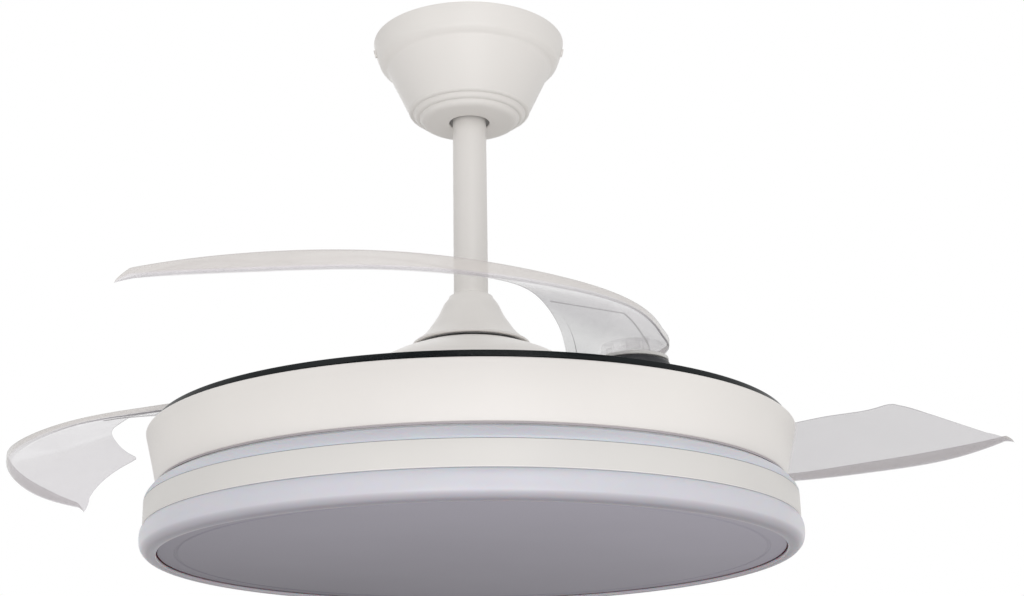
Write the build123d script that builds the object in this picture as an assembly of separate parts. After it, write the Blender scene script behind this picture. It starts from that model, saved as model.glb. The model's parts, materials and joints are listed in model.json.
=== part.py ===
from build123d import *
import math
import os

# Ceiling fan with a light and three folding clear blades.
# Millimetres. Z = 0 is the ceiling, +Z up, the fan's axis is Z.

# ---- clearances and screws ----
SEAT = 0.1            # gap between pieces that seat in each other
RUN = 0.05            # radial running clearance on shafts and pins
AIR = 0.4             # gap under a piece that turns over another
M4 = 2.0              # screw shank radii
M5 = 2.5
M4_HEAD_R = 3.4
M5_HEAD_R = 4.6

# ---- ceiling bracket and hanger ball ----
PLATE_R = 64.0
PLATE_T = 2.5
BOLT_SPACING = 90.0
BOLT_HOLE_R = 3.3
WIRE_HOLE_R = 14.0
BALL_R = 24.0
BALL_Z = -38.0
BALL_BELOW = 17.0     # flats of the ball below and above its centre
BALL_ABOVE = 15.0
CUP_R = 31.0
CUP_LOW = BALL_Z - 18.0
CUP_HIGH = BALL_Z - 5.0
CUP_MOUTH = 29.0      # side slot that lets the rod into the cup
LEG_W = 26.0
RECEIVER = (52.0, 20.0, 18.0)
RECEIVER_Y = 41.0
TERMINALS = (32.0, 14.0, 12.0)
TERMINALS_Y = -41.0
TERMINAL_PITCH = 10.0
TERMINAL_R = 2.4

# ---- canopy ----
CANOPY_WALL = 1.5
CANOPY_TOP_R = 79.3
CANOPY_TOP_Z = -1.0
CANOPY_BAND_R = 75.8
CANOPY_BAND_Z = -14.0
CANOPY_CONE_R = 67.5
CANOPY_CONE_Z = -24.5
CANOPY_FOOT_R = 49.0
CANOPY_FOOT_Z = -63.5
CANOPY_STEP_R = 42.0
CANOPY_STEP_Z = -67.5
CANOPY_BASE_R = 34.0
CANOPY_BASE_Z = -72.5
CANOPY_BORE_R = 16.4  # lets the rod lean a little on its ball
TAB_Z = -8.0          # height of the screws through the rim
TAB_H = 12.0
TAB_W = 14.0
TAB_GAP = 2.2         # between an ear and the canopy's wall
RIM_SCREW_LENGTH = 9.0
RIM_HEAD_H = 1.4

# ---- downrod, yoke and coupling bell ----
ROD_R = 13.75
ROD_WALL = 1.6
ROD_LENGTH = 226.0
ROD_OVER_BALL = 14.0  # how far the rod reaches above the ball's centre
ROD_TOP_Z = BALL_Z + ROD_OVER_BALL
ROD_LOW_Z = ROD_TOP_Z - ROD_LENGTH
YOKE_R = 17.5
YOKE_CUP = 20.0       # depth of the yoke round the rod, and below it
YOKE_FOOT = 15.0
YOKE_TOP_Z = ROD_LOW_Z + YOKE_CUP
YOKE_PIN_Z = ROD_LOW_Z + YOKE_CUP / 2
YOKE_LOW_Z = ROD_LOW_Z - YOKE_FOOT
YOKE_SCREW_Z = YOKE_LOW_Z + YOKE_FOOT / 2
YOKE_FLANGE_T = 2.0
BELL_WALL = 1.2
BELL_LOW_Z = YOKE_LOW_Z + AIR
# radius of the bell and height over its lower edge
BELL_FLARE = [(18.4, 40.1), (22.0, 34.1), (26.0, 25.6), (31.0, 17.6), (37.2, 9.3), (46.0, 1.3)]
BELL_SHOULDER = 2.2
BELL_LIP = 3.0
BELL_LIP_OUT = 0.8    # how far the lip stands out

# ---- motor ----
SHAFT_R = 8.5
SHAFT_BORE_R = 5.0
SHAFT_BELOW_DRUM = 13.6
BEARING_R = 17.5
BEARING_W = 10.0
BEARING_SEAT_T = 3.0
MOTOR_R = 92.0
MOTOR_H = 68.5
MOTOR_WALL = 2.5
MOTOR_GAP = 2.5       # between the yoke and the turning dome
MOTOR_TOP_Z = YOKE_LOW_Z - MOTOR_GAP
# how far the dome lies inside the motor's radius, and below its top
DOME_CURVE = [(45.0, 0.0), (37.0, 3.2), (26.0, 8.0), (12.0, 16.0), (3.0, 24.0), (0.0, 30.0)]
DISC_TOP_Z = MOTOR_TOP_Z - MOTOR_H
LOWER_COVER_H = 28.0
MOTOR_SPLIT_Z = DISC_TOP_Z + LOWER_COVER_H
COVER_SCREWS = 6
COVER_SCREW_AT = 30.0
COVER_BOSS_R = 4.2
COVER_BOSS_AT = MOTOR_R - MOTOR_WALL - 2.5
COVER_STEP = 12.0     # height of the screw heads over the disc
COVER_TAPER = 10.0    # how far the lower cover draws in
COVER_SCREW_REACH = 5.0  # of the screws into the upper cover
MAGNET_T = 7.0
MAGNET_COUNT = 16
MAGNET_GAP = 1.2      # degrees between magnets
MAGNET_R = MOTOR_R - MOTOR_WALL - 7.5
STATOR_R = MAGNET_R - MAGNET_T - 1.0
STATOR_H = 18.0
STATOR_Z = DISC_TOP_Z + 15.0
STATOR_SLOTS = 12
CORE_R = 30.0
SHOE_T = 4.0
SHOE_GAP = 6.0        # degrees between pole shoes
TOOTH_W = 9.0
COIL_T = 6.0
COIL_START = CORE_R + 6.0
COIL_LENGTH = STATOR_R - SHOE_T - 3.0 - COIL_START

# ---- drum, the fixed body over the light ----
DRUM_TOP_R = 248.5
DRUM_LEAN = 9.5       # how far the wall draws in on its way down
DRUM_LOW_R = DRUM_TOP_R - DRUM_LEAN
DRUM_H = 40.1
DRUM_WALL = 1.2
DISC_T = 5.0
DISC_GAP = 1.3        # between the disc and the drum's rim
DISC_INSET = 5.5      # how far the disc's edge lies inside the drum's
DRUM_TOP_Z = DISC_TOP_Z - DISC_T - DISC_GAP
DRUM_LOW_Z = DRUM_TOP_Z - DRUM_H
CABLE_HOLE_R = 6.0
CABLE_HOLE_AT = 88.0
LAMP_PLATE_R = 70.0
LAMP_PLATE_T = 3.0
LAMP_SCREW_AT = 52.0
LAMP_SCREWS = 6
LAMP_SCREW_LENGTH = 8.6
SHAFT_LOW_Z = DRUM_LOW_Z - SHAFT_BELOW_DRUM
SHAFT_NUT_R = 15.0
SHAFT_NUT_H = 6.0
CONTROLLER = (110.0, 50.0, 24.0)
CONTROLLER_Y = 130.0
DRIVER = (130.0, 42.0, 22.0)
DRIVER_Y = -130.0

# ---- blade carrier disc ----
DISC_R = DRUM_TOP_R - DISC_INSET
DISC_EDGE = 0.8
DISC_BORE_R = 21.0
CARRIER_SCREW_R = 60.0
CARRIER_SCREWS = 6

# ---- blade pivots ----
BLADES = 3
PIVOT_INSET = 38.0    # from the disc's edge
PIVOT_R = DISC_R - PIVOT_INSET
PIVOT_AZIMUTH = 302.7
PUCK_R = 25.0
PUCK_H = 9.0
PUCK_TOP_Z = DISC_TOP_Z + PUCK_H
POCKET_R = 14.0
POCKET_CORE_R = 6.5
POCKET_DEPTH = 7.5
PIN_R = 5.0
PIN_HEAD_R = 8.0
PIN_HEAD_H = 2.0
HUB_R = 24.0
HUB_T = 2.6
HUB_NECK_R = 8.0
HUB_LOW_Z = PUCK_TOP_Z + AIR
CLAMP_T = 2.5
CLAMP_SCREW_R = 16.5
CLAMP_SCREWS = 3
CLAMP_SCREW_AT = 60.0
NUT_R = 8.0
NUT_H = 4.0
STOP_R = 19.5         # radius of the stop groove in the puck
STOP_W = 3.5
STOP_DEPTH = 3.0
STOP_START = 20.0     # where the stop lug stands with the blade folded
STOP_SPAN = 14.0      # degrees that the stop lug covers
SPRING_WIRE_R = 0.8
SPRING_R = 11.0
SPRING_TURNS = 3

# ---- blades: a sector of a ring when folded over the disc ----
TRAVEL = 92.0         # from folded to fully open
SWINGS = {"front": 51.4, "left": 75.6, "right": 60.0}
BLADE_T = 2.5
BOSS_LOW_Z = HUB_LOW_Z + HUB_T
BLADE_ROOT_Z = BOSS_LOW_Z + 4.0
CLAMP_LOW_Z = BLADE_ROOT_Z + BLADE_T
NUT_Z = CLAMP_LOW_Z + CLAMP_T + AIR
BLADE_INSIDE = 46.0   # how far the root reaches inside the pivot's circle
BLADE_IN_R = PIVOT_R - BLADE_INSIDE
# along the blade: degrees past the pivot, reach outside and inside the pivot's circle,
# drop of the outer edge, pitch of the sheet, height of the lip, crown of the sheet
BLADE_STATIONS = [
    (-11.0, 8.0, BLADE_INSIDE, 0.0, 0.00, 5.5, 0.0),
    (0.0, 24.0, BLADE_INSIDE, 0.0, 0.02, 5.5, 0.0),
    (12.0, 24.5, BLADE_INSIDE, 1.2, 0.20, 5.5, 0.0),
    (28.0, 29.8, BLADE_INSIDE, 3.0, 0.35, 5.3, 0.0),
    (48.0, 37.4, 48.0, 9.2, 0.38, 8.2, 0.0),
    (72.0, 37.0, 51.0, 11.4, 0.435, 12.4, 1.0),
    (92.0, 38.8, 51.0, 13.8, 0.42, 12.5, 3.0),
    (111.0, 43.0, 46.0, 12.2, 0.42, 5.5, 6.0),
]
ROOT_OUTSIDE = 23.5   # reach of the rounded root end outside the pivot's circle
ROOT_R = (BLADE_INSIDE + ROOT_OUTSIDE) / 2
ROOT_AT = BLADE_IN_R + ROOT_R
# the hollow tip edge: radius, and degrees past the pivot
TIP = (PIVOT_R + 45.0, 111.2)
TIP_BEND = (PIVOT_R + 18.0, 104.5)
CORNER = (PIVOT_R - 42.0, 100.5)
CUT_SPARE = 40.0      # how far a cutter runs past the blade

# ---- light ----
CHASSIS_R = DRUM_LOW_R - 0.4
CHASSIS_T = 1.2
CHASSIS_H = 28.4
CHASSIS_TOP_Z = DRUM_LOW_Z - 2 * SEAT
CHASSIS_LOW_Z = CHASSIS_TOP_Z - CHASSIS_H
STRIP_H = 12.6
STRIP_T = 3.0
# share of the way from the drum to the band, outwards and down
STRIP_CURVE = [(0.0, 0.0), (0.5, 0.27), (0.84, 0.6), (1.0, 1.0)]
STRIP_REACH = 9.0     # how far the strip and the band stand out under the drum
BAND_R = DRUM_LOW_R + STRIP_REACH
BAND_H = 18.2
BAND_T = 1.5
BAND_TOP_Z = DRUM_LOW_Z - STRIP_H
BAND_LOW_Z = BAND_TOP_Z - BAND_H
RING_OUT = 2.0        # how far the shade's rim stands outside the band
RING_R = BAND_R + RING_OUT
RING_T = 3.0
RING_TOP_Z = BAND_LOW_Z - 0.6
# how far the rim lies inside the ring's radius, and below its top
RING_CURVE = [(1.8, 0.0), (0.0, 7.2), (1.0, 14.2), (5.5, 18.8), (13.0, 19.6)]
LUG_T = 2.0
LUG_REACH = 3.6
LUG_SPAN = 16.0
LUG_COUNT = 3
LUG_Z = RING_TOP_Z + 10.2  # lower face of the shade's lugs
TONGUE_T = 1.6
NECK_T = 3.0
NECK_H = 14.8         # the neck over the ring's top
NECK_R = CHASSIS_R - CHASSIS_T - LUG_REACH - 1.8
NECK_TOP_Z = RING_TOP_Z + NECK_H
DIFFUSER_R = RING_R - RING_CURVE[-1][0] - AIR
DIFFUSER_T = 2.5
DIFFUSER_RIM = 6.0
DIFFUSER_DROP = 17.2  # its face under the ring's top
DIFFUSER_Z = RING_TOP_Z - DIFFUSER_DROP
GROOVE_INSET = 13.6
GROOVE_R = DIFFUSER_R - GROOVE_INSET
GROOVE_W = 2.0
GROOVE_DEPTH = 0.8
LED_BOARDS = 6
BOARD = (130.0, 24.0, 1.6)
BOARD_START = 72.0
LED_PER_BOARD = 6
LED_SIDE = 5.0
LED_H = 1.4
LED_START = 84.0
LED_PITCH = 21.0

os.makedirs("parts", exist_ok=True)


# ---- helpers ----
def save(node, *solids):
    """Writes one node: a single solid, or a group of separate solids."""
    shape = solids[0] if len(solids) == 1 else Compound(list(solids))
    export_step(shape, f"parts/{node}.step")


def outline(points, smooth=False):
    """A line through (radius, z) points in the XZ plane."""
    places = [(r, 0, z) for r, z in points]
    return Spline(*places) if smooth else Polyline(*places)


def offset_points(points, wall):
    """The same points moved square to the line, to its right seen along it, with mitred corners."""
    moved = []
    for i, (r, z) in enumerate(points):
        before = points[max(i - 1, 0)]
        after = points[min(i + 1, len(points) - 1)]
        first = math.atan2(z - before[1], r - before[0])
        second = math.atan2(after[1] - z, after[0] - r)
        if i == 0:
            first = second
        if i == len(points) - 1:
            second = first
        turn = math.remainder(second - first, math.tau) / 2
        normal = first + turn - math.pi / 2
        reach = wall / math.cos(turn)
        moved.append((r + reach * math.cos(normal), z + reach * math.sin(normal)))
    return moved


def sheet_turned(points, wall, smooth=False):
    """A thin wall of revolution; the wall lies to the right of the line."""
    inner = offset_points(points, wall)
    outer_line = outline(points, smooth)
    inner_line = outline(inner, smooth)
    ends = [Line(outer_line @ 0, inner_line @ 0), Line(outer_line @ 1, inner_line @ 1)]
    edges = list(outer_line.edges()) + list(inner_line.edges()) + ends
    return revolve(make_face(edges), Axis.Z)


def turned(*points):
    """A solid of revolution from a closed (radius, z) outline."""
    line = Polyline(*[(r, 0, z) for r, z in points], close=True)
    return revolve(make_face(line.edges()), Axis.Z)


def ring(r_out, r_in, low, high):
    return turned((r_in, low), (r_out, low), (r_out, high), (r_in, high))


def rod(radius, low, high):
    return Pos(0, 0, low) * Cylinder(radius, high - low, align=(Align.CENTER, Align.CENTER, Align.MIN))


def sector(r_out, r_in, low, high, start, span):
    """Part of a ring, from start degrees on, counter-clockwise."""
    line = Polyline((r_in, 0, low), (r_out, 0, low), (r_out, 0, high), (r_in, 0, high), close=True)
    return Rot(0, 0, start) * revolve(make_face(line.edges()), Axis.Z, span)


def box(size, z):
    """A block on the fan's axis, its lower face at a height."""
    return Pos(0, 0, z) * Box(*size, align=(Align.CENTER, Align.CENTER, Align.MIN))


def around(shape, radius, count, start=0.0, z=0.0):
    """Copies of a shape on a circle about Z, each turned with its place."""
    step = 360 / count
    return [Rot(0, 0, start + i * step) * Pos(radius, 0, z) * shape for i in range(count)]


def cut_all(shape, tools):
    for tool in tools:
        shape -= tool
    return shape


def screw(shank_r, length, head_r, head_h, slot=True):
    """A pan-head screw, its head above Z = 0 and its shank below."""
    body = rod(shank_r, -length, 0) + rod(head_r, 0, head_h)
    if slot:
        body -= Pos(0, 0, head_h) * Box(head_r * 1.3, 1.0, head_h)
        body -= Pos(0, 0, head_h) * Box(1.0, head_r * 1.3, head_h)
    return body


def hex_nut(across_r, bore_r, height):
    blank = extrude(RegularPolygon(across_r, 6), height)
    return blank - rod(bore_r, -1, height + 1)


# ---- the ceiling unit, fixed ----
def hanger_bracket():
    plate = rod(PLATE_R, -PLATE_T, 0) - rod(WIRE_HOLE_R, -PLATE_T - 1, 1)
    leg_h = -PLATE_T - CUP_LOW
    leg = Pos(CUP_R - PLATE_T / 2, 0, (CUP_LOW - PLATE_T) / 2) * Box(PLATE_T, LEG_W, leg_h)
    cup = rod(CUP_R, CUP_LOW, CUP_HIGH)
    body = plate + leg + Rot(0, 0, 180) * leg + cup
    body -= Pos(0, 0, BALL_Z) * Sphere(BALL_R + RUN)
    mouth = Box(CUP_MOUTH, CUP_R + 1, CUP_HIGH - CUP_LOW + 2, align=(Align.CENTER, Align.MIN, Align.MIN))
    body -= Pos(0, 0, CUP_LOW - 1) * mouth
    for side in (-1, 1):
        body -= Pos(side * BOLT_SPACING / 2, 0, 0) * rod(BOLT_HOLE_R, -PLATE_T - 1, 1)
    for turn in (0, 180):
        body += Rot(0, 0, turn) * bracket_tab()
    return body


def canopy_wall_r(z):
    """Outer radius of the canopy's rim band at a height."""
    share = (CANOPY_TOP_Z - z) / (CANOPY_TOP_Z - CANOPY_BAND_Z)
    return CANOPY_TOP_R + share * (CANOPY_BAND_R - CANOPY_TOP_R)


def bracket_tab():
    """An ear that reaches out on +X to the canopy's wall and takes its screw."""
    start = PLATE_R - 4
    end = canopy_wall_r(TAB_Z) - CANOPY_WALL - TAB_GAP
    arm = Pos((start + end) / 2, 0, 0) * box((end - start, TAB_W, PLATE_T), -PLATE_T)
    ear = Pos(end - PLATE_T / 2, 0, 0) * box((PLATE_T, TAB_W, TAB_H), -TAB_H)
    return arm + ear - canopy_screw_place() * Cylinder(M4 + SEAT, 2 * TAB_W)


def canopy_screw_place():
    """Where the screw on +X meets the leaning rim, square to it."""
    lean = math.degrees(math.atan2(CANOPY_TOP_R - CANOPY_BAND_R, CANOPY_TOP_Z - CANOPY_BAND_Z))
    return Pos(canopy_wall_r(TAB_Z), 0, TAB_Z) * Rot(0, 90 + lean, 0)


def canopy_points():
    return [
        (CANOPY_TOP_R, CANOPY_TOP_Z),
        (CANOPY_BAND_R, CANOPY_BAND_Z),
        (CANOPY_BAND_R - 1.6, CANOPY_BAND_Z - 4.2),
        (CANOPY_CONE_R + 3.2, CANOPY_CONE_Z + 2.6),
        (CANOPY_CONE_R, CANOPY_CONE_Z),
        (CANOPY_FOOT_R, CANOPY_FOOT_Z),
        (CANOPY_FOOT_R - 1.5, CANOPY_FOOT_Z - 1.6),
        (CANOPY_STEP_R + 1.0, CANOPY_STEP_Z + 0.6),
        (CANOPY_STEP_R - 1.0, CANOPY_STEP_Z - 1.4),
        (CANOPY_BASE_R + 1.8, CANOPY_BASE_Z + 2.4),
        (CANOPY_BASE_R, CANOPY_BASE_Z),
        (CANOPY_BORE_R, CANOPY_BASE_Z),
    ]


def canopy():
    shell = sheet_turned(canopy_points(), CANOPY_WALL)
    for turn in (0, 180):
        shell -= Rot(0, 0, turn) * canopy_screw_place() * Cylinder(M4 + SEAT, 2 * TAB_W)
    return shell


def canopy_screws():
    """Two low screws through the rim into the bracket's ears."""
    one = canopy_screw_place() * Pos(0, 0, SEAT) * screw(M4, RIM_SCREW_LENGTH, M4_HEAD_R, RIM_HEAD_H)
    return [Rot(0, 0, turn) * one for turn in (0, 180)]


def receiver_box():
    """The remote receiver, under the plate behind the ball."""
    body = Pos(0, RECEIVER_Y, 0) * box(RECEIVER, -PLATE_T - RECEIVER[2])
    return fillet(body.edges().filter_by(Axis.Z), 2)


def terminal_block():
    low = -PLATE_T - TERMINALS[2]
    body = Pos(0, TERMINALS_Y, 0) * box(TERMINALS, low)
    for i in (-1, 0, 1):
        body -= Pos(i * TERMINAL_PITCH, TERMINALS_Y, 0) * rod(TERMINAL_R, low - 1, low + 4)
    return body


# ---- the hanging unit: ball, rod, yoke, shaft, drum ----
def hanger_ball():
    body = Pos(0, 0, BALL_Z) * Sphere(BALL_R)
    body &= rod(BALL_R + 1, BALL_Z - BALL_BELOW, BALL_Z + BALL_ABOVE)
    body -= rod(ROD_R + SEAT, BALL_Z - BALL_R, BALL_Z + BALL_R)
    return body - Pos(0, 0, BALL_Z) * Rot(0, 90, 0) * Cylinder(M5 + SEAT, 3 * BALL_R)


def ball_pin():
    """The cross pin that hangs the rod in the ball."""
    return Pos(0, 0, BALL_Z) * Rot(0, 90, 0) * Cylinder(M5, 2 * BALL_R - 4)


def downrod():
    tube = ring(ROD_R, ROD_R - ROD_WALL, ROD_LOW_Z, ROD_TOP_Z)
    for z in (BALL_Z, YOKE_PIN_Z):
        tube -= Pos(0, 0, z) * Rot(0, 90, 0) * Cylinder(M5 + SEAT, 3 * ROD_R)
    return tube


def yoke():
    """The coupler that pins the rod and holds the motor shaft."""
    seat_z = ROD_LOW_Z - SEAT
    body = ring(YOKE_R, ROD_R + SEAT, seat_z, YOKE_TOP_Z)
    body += ring(YOKE_R, SHAFT_R + SEAT, YOKE_LOW_Z, seat_z)
    foot_r = BELL_FLARE[-1][0] - BELL_LIP - 2 * SEAT
    body += ring(foot_r, YOKE_R - 1, YOKE_LOW_Z, YOKE_LOW_Z + YOKE_FLANGE_T)
    body -= Pos(0, 0, YOKE_PIN_Z) * Rot(0, 90, 0) * Cylinder(M5 + SEAT, 3 * YOKE_R)
    body -= Pos(0, 0, YOKE_SCREW_Z) * Rot(90, 0, 0) * Cylinder(M4 + SEAT, 3 * YOKE_R)
    return body


def yoke_pin():
    return Pos(0, 0, YOKE_PIN_Z) * Rot(0, 90, 0) * Cylinder(M5, 2 * YOKE_R + 1.6)


def yoke_set_screws():
    length = YOKE_R - SHAFT_R - 2 * SEAT
    one = Pos(SHAFT_R + SEAT, 0, YOKE_SCREW_Z) * Rot(0, 90, 0) * rod(M4, 0, length)
    return [Rot(0, 0, turn) * one for turn in (90, 270)]


def coupling_cover():
    """The bell that slides down the rod and hides the yoke."""
    points = [(r, BELL_LOW_Z + height) for r, height in BELL_FLARE]
    flare = sheet_turned(points, BELL_WALL, smooth=True)
    top_r, top_z = points[0]
    foot_r, foot_z = points[-1]
    cap_z = top_z + BELL_SHOULDER
    shoulder = turned(
        (ROD_R + SEAT, top_z - BELL_WALL),
        (top_r - BELL_WALL, top_z - BELL_WALL),
        (top_r, top_z),
        (top_r - BELL_SHOULDER, cap_z),
        (ROD_R + SEAT, cap_z),
    )
    lip = turned(
        (foot_r - BELL_LIP, foot_z - 0.2),
        (foot_r - 2.0, BELL_LOW_Z),
        (foot_r + BELL_LIP_OUT, BELL_LOW_Z),
        (foot_r + BELL_LIP_OUT, foot_z),
        (foot_r - 0.4, foot_z + 0.3),
    )
    return flare + shoulder + lip


def motor_shaft():
    """The fixed hollow shaft from the yoke to the light."""
    return ring(SHAFT_R, SHAFT_BORE_R, SHAFT_LOW_Z, ROD_LOW_Z - 2 * SEAT)


def stator_core():
    top = STATOR_Z + STATOR_H
    core = ring(CORE_R, SHAFT_R + SEAT, STATOR_Z, top)
    tooth_start = CORE_R - 2
    tooth_length = STATOR_R - SHOE_T / 2 - tooth_start
    tooth = Box(tooth_length, TOOTH_W, STATOR_H, align=(Align.MIN, Align.CENTER, Align.MIN))
    for arm in around(tooth, tooth_start, STATOR_SLOTS, z=STATOR_Z):
        core += arm
    shoe_span = 360 / STATOR_SLOTS - SHOE_GAP
    for i in range(STATOR_SLOTS):
        start = i * 360 / STATOR_SLOTS - shoe_span / 2
        core += sector(STATOR_R, STATOR_R - SHOE_T, STATOR_Z, top, start, shoe_span)
    return core


def stator_coils():
    """One copper winding round each tooth."""
    outer = Box(COIL_LENGTH, TOOTH_W + COIL_T, STATOR_H + COIL_T)
    hole = Box(COIL_LENGTH + 1, TOOTH_W + 2 * SEAT, STATOR_H + 2 * SEAT)
    coil = fillet(outer.edges().filter_by(Axis.X), 2.0) - hole
    return around(coil, COIL_START + COIL_LENGTH / 2, STATOR_SLOTS, z=STATOR_Z + STATOR_H / 2)


def shaft_spacer():
    """A sleeve between the lower bearing and the lamp plate."""
    low = DRUM_LOW_Z + DRUM_WALL + LAMP_PLATE_T + SEAT
    return ring(SHAFT_R + 4, SHAFT_R + SEAT, low, lower_bearing_z() - AIR)


def lamp_plate():
    """A stiffening plate that spreads the drum's load to the shaft."""
    low = DRUM_LOW_Z + DRUM_WALL
    plate = ring(LAMP_PLATE_R, SHAFT_R + SEAT, low, low + LAMP_PLATE_T)
    return cut_all(plate, lamp_screw_holes())


def lamp_screw_holes():
    """Holes through the lamp plate, the drum's floor and the lamp tray."""
    high = DRUM_LOW_Z + DRUM_WALL + LAMP_PLATE_T + 1
    hole = rod(M5 + SEAT, CHASSIS_TOP_Z - CHASSIS_T - 1, high)
    return around(hole, LAMP_SCREW_AT, LAMP_SCREWS, 180 / LAMP_SCREWS)


def shaft_nut():
    top = CHASSIS_TOP_Z - CHASSIS_T
    return Pos(0, 0, top - SHAFT_NUT_H) * hex_nut(SHAFT_NUT_R, SHAFT_R + SEAT, SHAFT_NUT_H)


def drum_shell():
    """The painted pan: a floor and a wall that leans out to the rim."""
    points = [(DRUM_TOP_R, DRUM_TOP_Z), (DRUM_LOW_R, DRUM_LOW_Z), (SHAFT_R + SEAT, DRUM_LOW_Z)]
    pan = sheet_turned(points, DRUM_WALL)
    return cut_all(pan, lamp_screw_holes() + cable_holes())


def cable_holes():
    """Two holes for the lamp's cables, through the drum's floor and the tray."""
    hole = rod(CABLE_HOLE_R, CHASSIS_TOP_Z - CHASSIS_T - 1, DRUM_LOW_Z + DRUM_WALL + 1)
    return around(hole, CABLE_HOLE_AT, 2, 90)


def drum_screws():
    """Screws down through the lamp plate and the drum into the light."""
    top = DRUM_LOW_Z + DRUM_WALL + LAMP_PLATE_T
    one = screw(M5, LAMP_SCREW_LENGTH, M5_HEAD_R, 2.8)
    return around(one, LAMP_SCREW_AT, LAMP_SCREWS, 180 / LAMP_SCREWS, z=top)


def motor_controller():
    body = Pos(0, CONTROLLER_Y, 0) * box(CONTROLLER, DRUM_LOW_Z + DRUM_WALL)
    return fillet(body.edges().filter_by(Axis.Z), 3)


def led_driver():
    body = Pos(0, DRIVER_Y, 0) * box(DRIVER, DRUM_LOW_Z + DRUM_WALL)
    return fillet(body.edges().filter_by(Axis.Z), 3)


def lamp_chassis():
    """The light's steel tray, open below, with tongues for the shade."""
    points = [(CHASSIS_R, CHASSIS_LOW_Z), (CHASSIS_R, CHASSIS_TOP_Z), (SHAFT_R + SEAT, CHASSIS_TOP_Z)]
    tray = sheet_turned(list(reversed(points)), CHASSIS_T)
    tray = cut_all(tray, lamp_screw_holes() + cable_holes())
    tongue_out = CHASSIS_R - CHASSIS_T / 2
    tongue_top = LUG_Z - 2 * SEAT
    for i in range(LUG_COUNT):
        start = i * 360 / LUG_COUNT - LUG_SPAN / 2
        tray += sector(tongue_out, NECK_R + 0.6, tongue_top - TONGUE_T, tongue_top, start, LUG_SPAN)
    return tray


def led_boards():
    top = CHASSIS_TOP_Z - CHASSIS_T
    board = Box(*BOARD, align=(Align.MIN, Align.CENTER, Align.MAX))
    return around(board, BOARD_START, LED_BOARDS, z=top)


def leds():
    """Square emitters in a row on each board."""
    top = CHASSIS_TOP_Z - CHASSIS_T - BOARD[2]
    chip = Box(LED_SIDE, LED_SIDE, LED_H, align=(Align.CENTER, Align.CENTER, Align.MAX))
    chips = []
    for i in range(LED_PER_BOARD):
        chips += around(chip, LED_START + i * LED_PITCH, LED_BOARDS, z=top)
    return chips


def light_strip():
    """The clear shoulder between the drum and the band."""
    top_z = DRUM_LOW_Z - 1.0
    low_z = BAND_TOP_Z + 2 * SEAT
    points = []
    for out, down in STRIP_CURVE:
        points.append((DRUM_LOW_R + out * (BAND_R - DRUM_LOW_R), top_z + down * (low_z - top_z)))
    wall = sheet_turned(points, STRIP_T, smooth=True)
    return wall & ring(BAND_R + 1, CHASSIS_R + SEAT, BAND_TOP_Z + SEAT, DRUM_LOW_Z - SEAT)


def trim_band():
    wall = ring(BAND_R, BAND_R - BAND_T, BAND_LOW_Z, BAND_TOP_Z)
    shelf = ring(BAND_R, CHASSIS_R + SEAT, BAND_TOP_Z - BAND_T, BAND_TOP_Z)
    return wall + shelf


# ---- the lampshade, which twists off ----
def lamp_ring():
    """The rounded rim of the shade with its neck and lugs."""
    points = [(RING_R - inset, RING_TOP_Z - drop) for inset, drop in RING_CURVE]
    rim = sheet_turned(points, RING_T, smooth=True)
    shelf = ring(points[0][0] - 1, NECK_R - NECK_T, RING_TOP_Z - RING_T, RING_TOP_Z)
    neck = ring(NECK_R, NECK_R - NECK_T, RING_TOP_Z - 1, NECK_TOP_Z)
    body = rim + shelf + neck
    for i in range(LUG_COUNT):
        start = i * 360 / LUG_COUNT - LUG_SPAN / 2
        body += sector(NECK_R + LUG_REACH, NECK_R - 1, LUG_Z, LUG_Z + LUG_T, start, LUG_SPAN)
    return body


def diffuser():
    plate = rod(DIFFUSER_R, DIFFUSER_Z, DIFFUSER_Z + DIFFUSER_T)
    plate += ring(DIFFUSER_R, DIFFUSER_R - DIFFUSER_RIM, DIFFUSER_Z, RING_TOP_Z - RING_T - SEAT)
    groove_in = GROOVE_R - GROOVE_W / 2
    return plate - ring(groove_in + GROOVE_W, groove_in, DIFFUSER_Z - 1, DIFFUSER_Z + GROOVE_DEPTH)


# ---- the rotor: motor shell, carrier disc and pivots ----
def upper_bearing_z():
    return MOTOR_TOP_Z - MOTOR_WALL - BEARING_W


def lower_bearing_z():
    return DISC_TOP_Z + MOTOR_WALL + SEAT


def bearing(low):
    """A shielded ball bearing, drawn as one ring with its shields set in."""
    high = low + BEARING_W
    bore = SHAFT_R + RUN
    inner = bore + 2.4
    outer = BEARING_R - 2.6
    body = ring(BEARING_R, bore, low, high)
    body -= ring(outer, inner, high - 0.6, high + 1)
    return body - ring(outer, inner, low - 1, low + 0.6)


def rotor_top_cover():
    points = [(MOTOR_R - inset, MOTOR_TOP_Z - drop) for inset, drop in DOME_CURVE]
    dome = sheet_turned(points, MOTOR_WALL, smooth=True)
    top_r, top_z = points[0]
    shoulder_z = points[-1][1]
    cap = ring(top_r + 0.4, SHAFT_R + 3, top_z - MOTOR_WALL, top_z)
    wall = ring(MOTOR_R, MOTOR_R - MOTOR_WALL, MOTOR_SPLIT_Z, shoulder_z)
    body = dome + cap + wall + bearing_seat(upper_bearing_z() + 0.5, top_z - MOTOR_WALL)
    for boss in cover_bosses(MOTOR_SPLIT_Z, shoulder_z - 4):
        body += boss
    hole = rod(M4 + SEAT, MOTOR_SPLIT_Z - 1, MOTOR_SPLIT_Z + COVER_SCREW_REACH + 1)
    return cut_all(body, cover_places(hole))


def bearing_seat(low, high):
    return ring(BEARING_R + SEAT + BEARING_SEAT_T, BEARING_R + SEAT, low, high)


def cover_places(shape, z=0.0):
    """Copies of a shape at the screws that join the two motor covers."""
    return around(shape, COVER_BOSS_AT, COVER_SCREWS, COVER_SCREW_AT, z)


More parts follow.
